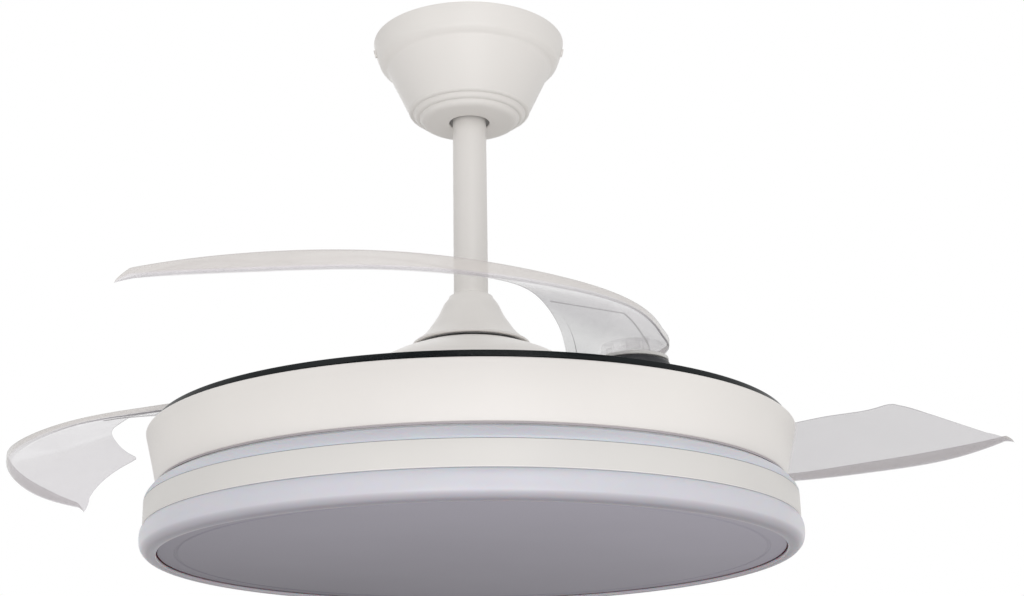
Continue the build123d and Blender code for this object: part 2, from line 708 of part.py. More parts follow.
def cover_bosses(low, high):
    """Screw bosses inside the motor wall."""
    return cover_places(rod(COVER_BOSS_R, low, high))


def rotor_bottom_cover():
    low = DISC_TOP_Z
    foot = MOTOR_R - COVER_TAPER
    floor = ring(foot, BEARING_R + SEAT, low, low + MOTOR_WALL)
    cone = turned(
        (foot, low),
        (MOTOR_R, low + COVER_STEP + 2),
        (MOTOR_R, MOTOR_SPLIT_Z),
        (MOTOR_R - MOTOR_WALL, MOTOR_SPLIT_Z),
        (MOTOR_R - MOTOR_WALL, low + COVER_STEP + 3),
        (foot - 1, low + MOTOR_WALL),
        (foot - 4, low + MOTOR_WALL),
        (foot - 4, low),
    )
    seat = bearing_seat(low, low + BEARING_W + MOTOR_WALL)
    ledge = ring(BEARING_R + 2, SHAFT_R + 4.5 + AIR, low, low + MOTOR_WALL)
    body = floor + cone + seat + ledge
    for boss in cover_bosses(low + COVER_STEP, MOTOR_SPLIT_Z):
        body += boss
    holes = cover_places(rod(M4 + SEAT, low - 1, MOTOR_SPLIT_Z + 1))
    holes += cover_places(rod(M4_HEAD_R + 0.3, low - 1, low + COVER_STEP))
    holes += around(rod(M5 + SEAT, low - 1, low + 9), CARRIER_SCREW_R, CARRIER_SCREWS)
    return cut_all(body, holes)


def rotor_screws():
    """Screws that draw the two motor covers together from below."""
    low = DISC_TOP_Z + COVER_STEP
    one = Rot(180, 0, 0) * screw(M4, MOTOR_SPLIT_Z - low + COVER_SCREW_REACH, M4_HEAD_R, 2.2)
    return cover_places(one, low)


def magnet_ring():
    """Curved magnets glued inside their carrier."""
    step = 360 / MAGNET_COUNT
    one = sector(MAGNET_R, MAGNET_R - MAGNET_T, STATOR_Z, STATOR_Z + STATOR_H, 0, step - MAGNET_GAP)
    return [Rot(0, 0, i * step) * one for i in range(MAGNET_COUNT)]


def magnet_carrier():
    """The steel ring that holds the magnets between the covers."""
    high = STATOR_Z + STATOR_H
    body = ring(MOTOR_R - MOTOR_WALL - SEAT, MAGNET_R + SEAT, STATOR_Z, high)
    return cut_all(body, cover_places(rod(COVER_BOSS_R + 2 * SEAT, STATOR_Z - 1, high + 1)))


def blade_carrier():
    """The glossy disc that carries the three pivots."""
    low = DISC_TOP_Z - DISC_T
    body = rod(DISC_R, low, DISC_TOP_Z)
    body = chamfer(body.edges().group_by(Axis.Z)[0], DISC_EDGE)
    holes = [rod(DISC_BORE_R, low - 1, DISC_TOP_Z + 1)]
    holes += around(rod(M5 + SEAT, low - 1, DISC_TOP_Z + 1), CARRIER_SCREW_R, CARRIER_SCREWS)
    holes += around(rod(PIN_R + SEAT, low - 1, DISC_TOP_Z + 1), PIVOT_R, BLADES, PIVOT_AZIMUTH)
    return cut_all(body, holes)


def carrier_screws():
    one = Rot(180, 0, 0) * screw(M5, DISC_T + MOTOR_WALL - 0.5, M5_HEAD_R, 1.2)
    return around(one, CARRIER_SCREW_R, CARRIER_SCREWS, z=DISC_TOP_Z - DISC_T)


def pivot_pucks():
    """Dark round blocks with a spring pocket and a groove for the blade's stop."""
    body = rod(PUCK_R, 0, PUCK_H)
    body = chamfer(body.edges().group_by(Axis.Z)[-1], 1.5)
    body -= rod(PIN_R + SEAT, -1, PUCK_H + 1)
    body -= ring(POCKET_R, POCKET_CORE_R, PUCK_H - POCKET_DEPTH, PUCK_H + 1)
    groove_out = STOP_R + STOP_W / 2 + 3 * SEAT
    groove_in = STOP_R - STOP_W / 2 - 3 * SEAT
    spare = 0.6
    start = STOP_START - STOP_SPAN / 2 - spare
    span = TRAVEL + STOP_SPAN + 2 * spare
    body -= sector(groove_out, groove_in, PUCK_H - STOP_DEPTH, PUCK_H + 1, start, span)
    return around(body, PIVOT_R, BLADES, PIVOT_AZIMUTH, z=DISC_TOP_Z)


def pivot_pins():
    """Shoulder pins, head under the disc and thread above the clamp."""
    low = DISC_TOP_Z - DISC_T
    body = rod(PIN_R, low, NUT_Z + NUT_H + 1) + rod(PIN_HEAD_R, low - PIN_HEAD_H, low)
    return around(body, PIVOT_R, BLADES, PIVOT_AZIMUTH)


def pivot_nuts():
    nut = hex_nut(NUT_R, PIN_R + SEAT, NUT_H)
    return around(nut, PIVOT_R, BLADES, PIVOT_AZIMUTH, z=NUT_Z)


def blade_springs():
    """Coil springs that pull the blades home, one in each puck."""
    pitch = 2 * SPRING_WIRE_R + 0.25
    path = Helix(pitch, pitch * SPRING_TURNS, SPRING_R)
    wire = Plane(path @ 0, z_dir=path % 0) * Circle(SPRING_WIRE_R)
    coil = sweep(wire, path=path)
    low = DISC_TOP_Z + PUCK_H - POCKET_DEPTH + SPRING_WIRE_R + 0.2
    return around(coil, PIVOT_R, BLADES, PIVOT_AZIMUTH, z=low)


# ---- a blade and what turns with it ----
def polar(radius, degrees, z):
    """A point of the folded blade, by its angle clockwise past the pivot."""
    turn = math.radians(-degrees)
    return (radius * math.cos(turn), radius * math.sin(turn), z)


def blade_section(degrees, outside, inside, drop, pitch, lip, crown):
    """A cut across the blade: an upright lip and a bowed sheet that rises inwards."""
    r_out = PIVOT_R + outside
    r_in = PIVOT_R - inside
    low = BLADE_ROOT_Z - drop
    foot = polar(r_out, degrees, low)
    lip_out = polar(r_out, degrees, low + lip)
    lip_in = polar(r_out - BLADE_T, degrees, low + lip)

    def sheet_line(start_r, start_z):
        """One face of the sheet, from the lip to the inner edge."""
        end_z = start_z + pitch * (start_r - r_in)
        middle = polar((start_r + r_in) / 2, degrees, (start_z + end_z) / 2 + crown)
        return Spline(polar(start_r, degrees, start_z), middle, polar(r_in, degrees, end_z))

    under = sheet_line(r_out, low)
    upper = sheet_line(r_out - BLADE_T, low + BLADE_T * (1 + pitch))
    edges = [
        Line(foot, lip_out),
        Line(lip_out, lip_in),
        Line(lip_in, upper @ 0),
        upper,
        Line(upper @ 1, under @ 1),
        under,
    ]
    return make_face(edges)


def blade_tip_cutter():
    """All that lies past the hollow tip edge."""
    inside = BLADE_IN_R - CUT_SPARE
    outside = TIP[0] + CUT_SPARE
    past = TIP[1] + 16
    corner, bend, tip = [Vector(*polar(radius, degrees, 0)) for radius, degrees in (CORNER, TIP_BEND, TIP)]
    beyond_tip = Vector(*polar(TIP[0] + CUT_SPARE / 2, TIP[1] + 1.5, 0))
    far_out = Vector(*polar(outside, past, 0))
    far_in = Vector(*polar(inside, past, 0))
    beyond_corner = Vector(*polar(inside, CORNER[1] - 3, 0))
    edges = [
        Bezier(corner, bend, tip),
        Line(tip, beyond_tip),
        Line(beyond_tip, far_out),
        Line(far_out, far_in),
        Line(far_in, beyond_corner),
        Line(beyond_corner, corner),
    ]
    height = 2 * PIVOT_R
    return Pos(0, 0, BLADE_ROOT_Z - height / 2) * extrude(make_face(edges), height)


def blade_root_cutter():
    """All that lies outside the rounded root end."""
    width = 2 * (ROOT_R + CUT_SPARE)
    block = Box(width, width, PIVOT_R, align=(Align.CENTER, Align.MIN, Align.CENTER))
    return Pos(ROOT_AT, 0, BLADE_ROOT_Z) * (block - Cylinder(ROOT_R, 2 * PIVOT_R))


def folded_blade():
    """The clear blade, folded over the disc with its pivot on +X."""
    body = loft([blade_section(*station) for station in BLADE_STATIONS])
    body -= blade_tip_cutter()
    body -= blade_root_cutter()
    boss = Pos(PIVOT_R, 0, 0) * rod(HUB_R - 1, BOSS_LOW_Z, CLAMP_LOW_Z)
    body += boss
    body -= Pos(PIVOT_R, 0, 0) * rod(HUB_R - 1, CLAMP_LOW_Z, CLAMP_LOW_Z + 2 * CLAMP_T)
    body -= Pos(PIVOT_R, 0, 0) * rod(HUB_NECK_R + SEAT, BOSS_LOW_Z - 1, CLAMP_LOW_Z + 1)
    return cut_all(body, clamp_holes())


def clamp_holes():
    hole = rod(M4 + SEAT, HUB_LOW_Z - 1, NUT_Z)
    return [Pos(PIVOT_R, 0, 0) * one for one in around(hole, CLAMP_SCREW_R, CLAMP_SCREWS, CLAMP_SCREW_AT)]


def folded_hub():
    """The hub under the blade: a flange, a neck that runs on the pin, and a stop lug."""
    flange = ring(HUB_R, PIN_R + RUN, HUB_LOW_Z, BOSS_LOW_Z)
    neck = ring(HUB_NECK_R, PIN_R + RUN, HUB_LOW_Z, CLAMP_LOW_Z + CLAMP_T)
    lug_low = PUCK_TOP_Z - STOP_DEPTH + AIR
    lug_in = STOP_R - STOP_W / 2
    lug = sector(lug_in + STOP_W, lug_in, lug_low, HUB_LOW_Z + 0.5, STOP_START - STOP_SPAN / 2, STOP_SPAN)
    body = Pos(PIVOT_R, 0, 0) * (flange + neck + lug)
    return cut_all(body, clamp_holes())


def folded_clamp():
    body = Pos(PIVOT_R, 0, 0) * ring(HUB_R - 2, HUB_NECK_R + SEAT, CLAMP_LOW_Z, CLAMP_LOW_Z + CLAMP_T)
    return cut_all(body, clamp_holes())


def folded_blade_screws():
    top = CLAMP_LOW_Z + CLAMP_T
    one = screw(M4, top - HUB_LOW_Z - 0.5, M4_HEAD_R, 2.0)
    ring_of = around(one, CLAMP_SCREW_R, CLAMP_SCREWS, CLAMP_SCREW_AT, z=top)
    return [Pos(PIVOT_R, 0, 0) * each for each in ring_of]


def opened(shape, place, index):
    """Turns a folded piece about its pivot to its resting swing, and round to its place."""
    swing = Pos(PIVOT_R, 0, 0) * Rot(0, 0, SWINGS[place]) * Pos(-PIVOT_R, 0, 0)
    return Rot(0, 0, PIVOT_AZIMUTH + index * 360 / BLADES) * swing * shape


# ---- write every node ----
save("hanger_bracket", hanger_bracket())
save("canopy", canopy())
save("canopy_screws", *canopy_screws())
save("receiver_box", receiver_box())
save("terminal_block", terminal_block())

save("hanger_ball", hanger_ball())
save("ball_pin", ball_pin())
save("downrod", downrod())
save("yoke", yoke())
save("yoke_pin", yoke_pin())
save("yoke_set_screws", *yoke_set_screws())
save("coupling_cover", coupling_cover())
save("motor_shaft", motor_shaft())
save("stator_core", stator_core())
save("stator_coils", *stator_coils())
save("shaft_spacer", shaft_spacer())
save("lamp_plate", lamp_plate())
save("shaft_nut", shaft_nut())
save("drum_shell", drum_shell())
save("drum_screws", *drum_screws())
save("motor_controller", motor_controller())
save("led_driver", led_driver())
save("lamp_chassis", lamp_chassis())
save("led_boards", *led_boards())
save("leds", *leds())
save("light_strip", light_strip())
save("trim_band", trim_band())

save("lamp_ring", lamp_ring())
save("diffuser", diffuser())

save("rotor_top_cover", rotor_top_cover())
save("rotor_bottom_cover", rotor_bottom_cover())
save("rotor_screws", *rotor_screws())
save("magnets", *magnet_ring())
save("magnet_carrier", magnet_carrier())
save("upper_bearing", bearing(upper_bearing_z()))
save("lower_bearing", bearing(lower_bearing_z()))
save("blade_carrier", blade_carrier())
save("carrier_screws", *carrier_screws())
save("pivot_pucks", *pivot_pucks())
save("pivot_pins", *pivot_pins())
save("pivot_nuts", *pivot_nuts())
save("blade_springs", *blade_springs())

blade = folded_blade()
hub = folded_hub()
clamp = folded_clamp()
blade_screws = folded_blade_screws()
for index, place in ((0, "front"), (-1, "left"), (1, "right")):
    save(f"blade_{place}", opened(blade, place, index))
    save(f"blade_hub_{place}", opened(hub, place, index))
    save(f"blade_clamp_{place}", opened(clamp, place, index))
    save(f"blade_screws_{place}", *[opened(one, place, index) for one in blade_screws])
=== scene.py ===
import json
import math

import bpy
from mathutils import Matrix, Vector

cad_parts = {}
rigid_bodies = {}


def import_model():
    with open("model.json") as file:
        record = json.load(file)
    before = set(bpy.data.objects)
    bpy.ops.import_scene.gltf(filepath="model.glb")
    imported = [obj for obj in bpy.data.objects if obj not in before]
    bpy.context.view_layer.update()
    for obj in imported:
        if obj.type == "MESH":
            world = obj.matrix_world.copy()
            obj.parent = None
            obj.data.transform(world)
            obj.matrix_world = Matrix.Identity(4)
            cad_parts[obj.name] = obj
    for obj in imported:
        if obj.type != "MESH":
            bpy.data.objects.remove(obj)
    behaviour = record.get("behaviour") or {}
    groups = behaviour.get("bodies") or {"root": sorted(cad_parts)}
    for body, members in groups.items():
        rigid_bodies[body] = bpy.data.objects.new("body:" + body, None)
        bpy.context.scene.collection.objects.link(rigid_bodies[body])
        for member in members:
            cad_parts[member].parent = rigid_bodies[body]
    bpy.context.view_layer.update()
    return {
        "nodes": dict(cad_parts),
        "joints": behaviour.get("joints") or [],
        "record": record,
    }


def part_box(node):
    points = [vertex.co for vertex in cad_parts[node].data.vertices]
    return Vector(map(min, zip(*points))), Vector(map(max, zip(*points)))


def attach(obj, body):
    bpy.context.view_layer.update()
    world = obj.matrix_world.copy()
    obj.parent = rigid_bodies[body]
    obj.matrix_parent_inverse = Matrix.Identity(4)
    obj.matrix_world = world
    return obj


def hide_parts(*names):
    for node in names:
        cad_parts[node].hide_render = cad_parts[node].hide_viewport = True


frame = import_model()

# A ceiling fan with three folding clear blades and a round light.
# Metres, Z up, the ceiling at Z = 0 and the fan's axis on Z. The outlines of
# turned pieces are lists of (radius, height) in millimetres.

MM = 0.001
SIDES = ("front", "left", "right")


# ---- shader building ----
class Wire:
    """A socket, or the shader maths on it, in one node tree."""

    def __init__(self, nodes, socket):
        self.nodes = nodes
        self.socket = socket

    def maths(self, operation, *values):
        return self.nodes.node("ShaderNodeMath", {"operation": operation}, *values)

    def __add__(self, other):
        return self.maths("ADD", self, other)

    def __sub__(self, other):
        return self.maths("SUBTRACT", self, other)

    def __rsub__(self, other):
        return self.maths("SUBTRACT", other, self)

    def __mul__(self, other):
        return self.maths("MULTIPLY", self, other)

    def __abs__(self):
        return self.maths("ABSOLUTE", self)

    __radd__ = __add__
    __rmul__ = __mul__

    def share(self, low, high):
        """0 at low and 1 at high, held in between."""
        return self.nodes.node("ShaderNodeMapRange", {"clamp": True}, self, low, high, 0.0, 1.0)


class Nodes:
    """A node tree and the one way in which nodes are added to it."""

    def __init__(self, tree):
        self.tree = tree

    def node(self, kind, settings, *values, out=0, **named):
        """Adds a node, sets it, then fills its sockets with values or links."""
        made = self.tree.nodes.new(kind)
        for key, value in settings.items():
            setattr(made, key, value)
        pairs = list(enumerate(values))
        pairs += [(key.replace("_", " "), value) for key, value in named.items()]
        for key, value in pairs:
            self.fill(made.inputs[key], value)
        return Wire(self, made.outputs[out])

    def fill(self, socket, value):
        """Gives a socket its link or its fixed value."""
        if isinstance(value, Wire):
            self.tree.links.new(value.socket, socket)
        else:
            socket.default_value = value


class Paint(Nodes):
    """One material and its Principled shader."""

    # sockets of a Mix node that is set to colours
    MIX_FIRST, MIX_SECOND, MIX_RESULT = 6, 7, 2

    def __init__(self, name, **settings):
        self.material = bpy.data.materials.new(name)
        self.material.use_nodes = True
        super().__init__(self.material.node_tree)
        self.shader = self.tree.nodes["Principled BSDF"]
        self.feed(**settings)

    def feed(self, **sockets):
        """Fills the shader's sockets, whose names have _ for a space."""
        for socket, value in sockets.items():
            self.fill(self.shader.inputs[socket.replace("_", " ")], value)

    def place(self, stretch=(1.0, 1.0, 1.0)):
        """The surface point in the part's own frame, in metres, stretched along its axes."""
        point = self.node("ShaderNodeTexCoord", {}, out="Object")
        return self.node("ShaderNodeVectorMath", {"operation": "MULTIPLY"}, point, stretch)

    def along(self, axis):
        """The surface point's X, Y or Z, in metres."""
        return self.node("ShaderNodeSeparateXYZ", {}, self.place(), out=axis)

    def reach(self):
        """Distance from the fan's axis, in metres."""
        level = self.place((1.0, 1.0, 0.0))
        return self.node("ShaderNodeVectorMath", {"operation": "LENGTH"}, level, out="Value")

    def upward(self):
        """How far the surface faces up, from -1 to 1."""
        normal = self.node("ShaderNodeNewGeometry", {}, out="Normal")
        return self.node("ShaderNodeSeparateXYZ", {}, normal, out="Z")

    def noise(self, scale, detail=2.0, stretch=(1.0, 1.0, 1.0)):
        vector = self.place(stretch)
        return self.node("ShaderNodeTexNoise", {}, Vector=vector, Scale=scale, Detail=detail)

    def cloud(self, scale, detail=2.0):
        """Soft patches, from 0 to 1."""
        return self.noise(scale, detail).share(0.3, 0.7)

    def mix(self, factor, first, second):
        """A colour between two colours."""
        made = self.node("ShaderNodeMix", {"data_type": "RGBA"}, factor, out=self.MIX_RESULT)
        sockets = made.socket.node.inputs
        self.fill(sockets[self.MIX_FIRST], first)
        self.fill(sockets[self.MIX_SECOND], second)
        return made

    def grain(self, pattern, smoothest, spread, strength, distance):
        """Roughness and a low relief that follow one pattern."""
        self.feed(Roughness=pattern.share(0.2, 0.8) * spread + smoothest)
        relief = {"Strength": strength, "Distance": distance, "Height": pattern}
        self.feed(Normal=self.node("ShaderNodeBump", {}, **relief))


def rgb(red, green, blue):
    """A colour as a screen shows it, 0 to 255, made linear."""
    linear = []
    for value in (red, green, blue):
        share = value / 255
        linear.append(share / 12.92 if share <= 0.04045 else ((share + 0.055) / 1.055) ** 2.4)
    return (*linear, 1.0)


def retinted(color, gain, lift=0.0):
    """A lighter or darker tone of a linear colour."""
    return (*(min(1.0, channel * gain + lift) for channel in color[:3]), 1.0)


# ---- finishes ----
ACRYLIC_IOR = 1.49
NYLON_IOR = 1.53


def satin_paint(name, darker, lighter):
    """Satin powder paint with a faint orange peel, and painted light that makes it paler where it
    faces down.
    """
    paint = Paint(name, Specular_IOR_Level=0.45)
    satin = paint.mix(paint.cloud(9.0, 3.0), darker, lighter)
    # painted light: faces that look down are painted paler, standing in for light from below
    under = paint.upward().share(-0.15, -0.8)
    paint.feed(Base_Color=paint.mix(under, satin, rgb(252, 249, 246)))
    paint.grain(paint.noise(420.0), 0.34, 0.1, 0.06, 0.0004)
    return paint.material


def bare_metal(name, color, roughness):
    """Plated or brushed metal with fine scratches."""
    paint = Paint(name, Metallic=1.0)
    paint.feed(Base_Color=paint.mix(paint.cloud(40.0), retinted(color, 0.82), color))
    scratches = paint.noise(240.0, 4.0, (1.0, 1.0, 12.0))
    paint.grain(scratches, roughness, 0.12, 0.08, 0.0002)
    return paint.material


def moulded(name, color, roughness):
    """Moulded plastic with a fine spark grain."""
    paint = Paint(name)
    paint.feed(Base_Color=paint.mix(paint.cloud(14.0), color, retinted(color, 1.12, 0.002)))
    paint.grain(paint.noise(700.0), roughness, 0.12, 0.15, 0.0003)
    return paint.material


def gloss_black():
    """Polished black disc with a faint haze."""
    paint = Paint("gloss_black", Coat_Roughness=0.04, Specular_IOR_Level=0.18, Coat_Weight=0.05)
    haze = paint.noise(30.0, 4.0).share(0.35, 0.75)
    paint.feed(Base_Color=paint.mix(haze, rgb(3, 10, 13), rgb(8, 18, 21)))
    paint.feed(Roughness=haze * 0.08 + 0.16)
    return paint.material


def clear_acrylic():
    """Clear sheet with painted light and shade: paler and clearer at its root, darker towards its
    right, and paler and more opaque where it turns up into the lip, a painted reflection.
    """
    paint = Paint("clear_acrylic", IOR=ACRYLIC_IOR)
    # painted reflection: the upright lip is painted more opaque in its own pale tone, standing in
    # for the sheen of a clear sheet seen at a slant
    face = abs(paint.upward()).share(0.2, 0.75)
    # painted light: near the root, where little light reaches the underside, the sheet is painted
    # paler and clearer
    root = paint.reach().share(0.232, 0.2)
    # painted shade: the sheet is painted darker towards its right, along +X
    across = paint.along("X").share(-0.3, 0.35)
    cloud = paint.cloud(7.0)
    sheet = paint.mix(across, rgb(219, 214, 222), rgb(192, 188, 194))
    sheet = paint.mix(root, sheet, rgb(244, 242, 244))
    paint.feed(Base_Color=paint.mix(face, rgb(212, 207, 204), sheet))
    paint.feed(Alpha=0.54 - face * 0.22 - root * 0.12 + cloud * 0.03)
    paint.feed(Roughness=cloud * 0.06 + 0.1)
    return paint.material


def clear_boss():
    """The clear boss under a blade's root, hardly seen."""
    paint = Paint("clear_boss", Roughness=0.15, IOR=ACRYLIC_IOR)
    cloud = paint.cloud(30.0)
    paint.feed(Base_Color=paint.mix(cloud, rgb(226, 222, 228), rgb(236, 232, 236)))
    paint.feed(Alpha=cloud * 0.03 + 0.07)
    return paint.material


def natural_nylon():
    """Undyed, see-through nylon of the pins, nuts and screws at the clear root."""
    paint = Paint("natural_nylon", IOR=NYLON_IOR)
    cloud = paint.cloud(60.0)
    paint.feed(Base_Color=paint.mix(cloud, rgb(242, 241, 239), rgb(248, 247, 245)))
    paint.feed(Alpha=cloud * 0.03 + 0.08)
    paint.feed(Roughness=cloud * 0.1 + 0.35)
    return paint.material


def acrylic_edge():
    """The sawn and polished edge of the clear sheet, which gathers a darker grey."""
    paint = Paint("acrylic_edge", Roughness=0.2, IOR=ACRYLIC_IOR)
    cloud = paint.cloud(25.0)
    paint.feed(Base_Color=paint.mix(cloud, rgb(118, 114, 118), rgb(138, 134, 137)))
    paint.feed(Alpha=cloud * 0.08 + 0.5)
    return paint.material


def painted_crease_shade():
    """Painted shade along the foot of the clear lip, a dark line that fades towards the blade's
    tip.
    """
    paint = Paint("painted_crease_shade", Roughness=0.2, IOR=ACRYLIC_IOR)
    fade = paint.reach().share(0.25, 0.38)
    paint.feed(Base_Color=paint.mix(fade, rgb(108, 104, 110), rgb(196, 192, 195)))
    paint.feed(Alpha=0.8 - fade * 0.5)
    return paint.material


def frosted_acrylic():
    """Milky translucent rim and strip of the light, with painted shade that makes them greyer where
    they face down.
    """
    paint = Paint("frosted_acrylic", IOR=ACRYLIC_IOR, Subsurface_Weight=0.35, Subsurface_Scale=0.01)
    milk = paint.mix(paint.cloud(12.0), rgb(205, 205, 214), rgb(210, 210, 218))
    # painted shade: faces that look down are painted grey
    under = paint.upward().share(-0.4, -0.95)
    paint.feed(Base_Color=paint.mix(under, milk, rgb(146, 144, 155)))
    paint.grain(paint.noise(500.0), 0.28, 0.08, 0.03, 0.0003)
    return paint.material


def opal():
    """Satin diffuser sheet, unlit, with painted shade: dark overall, and painted paler towards its
    front and its right.
    """
    paint = Paint("opal", IOR=ACRYLIC_IOR)
    # painted light and shade: the dark tone and its gradient stand in for how light falls on the
    # downward sheet
    to_right = paint.along("X").share(-0.25, 0.25)
    to_front = paint.along("Y").share(0.2, -0.22)
    cloud = paint.noise(6.0, 3.0).share(0.25, 0.75)
    shade = to_right * 0.4 + to_front * 0.5 + cloud * 0.1
    paint.feed(Base_Color=paint.mix(shade, rgb(102, 100, 110), rgb(170, 167, 181)))
    paint.grain(paint.noise(900.0), 0.5, 0.1, 0.05, 0.0002)
    return paint.material


FINISHES = {
    "cream_paint": satin_paint("cream_paint", rgb(229, 226, 223), rgb(233, 230, 227)),
    # a darker copy of the cream paint, painted shade for the upright trim band
    "shaded_cream_paint": satin_paint("shaded_cream_paint", rgb(217, 215, 213), rgb(221, 219, 216)),
    "steel": bare_metal("plated_steel", rgb(186, 186, 188), 0.28),
    "spring_steel": bare_metal("spring_steel", rgb(120, 120, 124), 0.3),
    "lamination": bare_metal("stacked_sheet", rgb(82, 82, 86), 0.45),
    "copper": bare_metal("copper_winding", rgb(196, 112, 66), 0.32),
    "magnet": bare_metal("plated_magnet", rgb(78, 78, 82), 0.35),
    "alloy": bare_metal("cast_alloy", rgb(190, 190, 192), 0.42),
    "gloss_black": gloss_black(),
    "dark_nylon": moulded("dark_nylon", rgb(38, 40, 44), 0.38),
    "clear_acrylic": clear_acrylic(),
    "clear_boss": clear_boss(),
    "acrylic_edge": acrylic_edge(),
    "painted_crease_shade": painted_crease_shade(),
    "frosted_acrylic": frosted_acrylic(),
    "opal": opal(),
    "white_plastic": moulded("white_plastic", rgb(226, 225, 222), 0.42),
    "natural_nylon": natural_nylon(),
    # grey rings at the light's seams, painted shade for the seam lines
    "grey_seam_shade": moulded("grey_seam_shade", rgb(172, 166, 170), 0.6),
    "pale_seam_shade": moulded("pale_seam_shade", rgb(188, 186, 191), 0.6),
    "white_board": moulded("white_solder_mask", rgb(232, 232, 228), 0.35),
    "phosphor": moulded("phosphor", rgb(232, 208, 92), 0.3),
    "tray_white": moulded("white_reflector_paint", rgb(236, 236, 234), 0.4),
}
SLOT_OF = {part["node"]: part["material_slot"] for part in frame["record"]["subparts"]}

# nodes whose finish isn't their slot's
OWN_FINISH = {
    "canopy_screws": "cream_paint",
    "pivot_pins": "natural_nylon",
    "pivot_nuts": "natural_nylon",
}
for side in SIDES:
    OWN_FINISH[f"blade_clamp_{side}"] = "clear_boss"
    OWN_FINISH[f"blade_screws_{side}"] = "natural_nylon"


def finish_cad_nodes():
    """Gives every CAD node its own finish, or that of its slot."""
    for name, node in frame["nodes"].items():
        node.data.materials.clear()
        node.data.materials.append(FINISHES[OWN_FINISH.get(name, SLOT_OF[name])])


# ---- modelling helpers ----
# faces round a turned piece
LARGE_STEPS = 192
BELL_STEPS = 128
SMALL_STEPS = 96
NECK_STEPS = 64
SMOOTH = math.radians(32)  # edges flatter than this are shaded smooth


def start_edit():
    bpy.ops.object.mode_set(mode="EDIT")
    bpy.ops.mesh.select_mode(type="VERT")
    bpy.ops.mesh.select_all(action="SELECT")


def end_edit():
    bpy.ops.object.mode_set(mode="OBJECT")


def select_only(piece):
    bpy.ops.object.select_all(action="DESELECT")
    piece.select_set(True)
    bpy.context.view_layer.objects.active = piece


def turned(name, outline, steps=LARGE_STEPS, solid=False):
    """A circle drawn out ring by ring along an outline, then closed."""
    radius, height = outline[0]
    bpy.ops.object.select_all(action="DESELECT")
    start = (0, 0, height * MM)
    bpy.ops.mesh.primitive_circle_add(vertices=steps, radius=radius * MM, location=start)
    piece = bpy.context.active_object
    piece.name = name
    bpy.ops.object.transform_apply(location=True)
    start_edit()
    for next_radius, next_height in outline[1:]:
        rise = (next_height - height) * MM
        bpy.ops.mesh.extrude_region_move(TRANSFORM_OT_translate={"value": (0, 0, rise)})
        grow = next_radius / radius
        centre = (0, 0, next_height * MM)
        bpy.ops.transform.resize(value=(grow, grow, 1), center_override=centre)
        radius, height = next_radius, next_height
    bpy.ops.mesh.select_all(action="DESELECT")
    bpy.ops.mesh.select_non_manifold()
    if solid:
        bpy.ops.mesh.edge_face_add()
    else:
        bpy.ops.mesh.bridge_edge_loops()
    bpy.ops.mesh.select_all(action="SELECT")
    bpy.ops.mesh.normals_make_consistent(inside=False)
    end_edit()
    return piece


def flat_ring(inner, outer, low, high):
    """The outline of a ring with a square section."""
    return [(inner, low), (outer, low), (outer, high), (inner, high)]


def rounded(piece, width, segments=3, angle=25):
    """Rounds the edges sharper than an angle, in degrees, by a width in millimetres."""
    select_only(piece)
    bevel = piece.modifiers.new("edges", "BEVEL")
    bevel.width = width * MM
    bevel.segments = segments
    bevel.limit_method = "ANGLE"
    bevel.angle_limit = math.radians(angle)
    bevel.harden_normals = False
    bpy.ops.object.modifier_apply(modifier=bevel.name)


def finished(piece, slot, body, *nodes, look=None):
    """Smooths a piece, gives it its finish unless it has one, and sets it on its body."""
    select_only(piece)
    bpy.ops.object.shade_smooth_by_angle(angle=SMOOTH)
    if not piece.data.materials:
        piece.data.materials.append(FINISHES[look or slot])
    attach(piece, body)
    if nodes:
        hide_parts(*nodes)
    return piece


def eased(start, end, slope_in, slope_out, t):
    """A value between start and end that leaves and arrives at the given slopes."""
    cubic = 2 * start - 2 * end + slope_in + slope_out
    square = -3 * start + 3 * end - 2 * slope_in - slope_out
    return ((cubic * t + square) * t + slope_in) * t + start


def through(points, steps):
    """A smooth line through points, with some steps between each two."""
    line = []
    for i in range(len(points) - 1):
        before = points[max(i - 1, 0)]
        start, end = points[i], points[i + 1]
        after = points[min(i + 2, len(points) - 1)]
        for step in range(steps):
            t = step / steps
            line.append(tuple(
                eased(here, there, (there - behind) / 2, (ahead - here) / 2, t)
                for behind, here, there, ahead in zip(before, start, end, after)
            ))
    line.append(points[-1])
    return line


def millimetres(node):
    """A CAD node's reach from the axis, and its lowest and highest height."""
    low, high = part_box(node)
    return high.x / MM, low.z / MM, high.z / MM


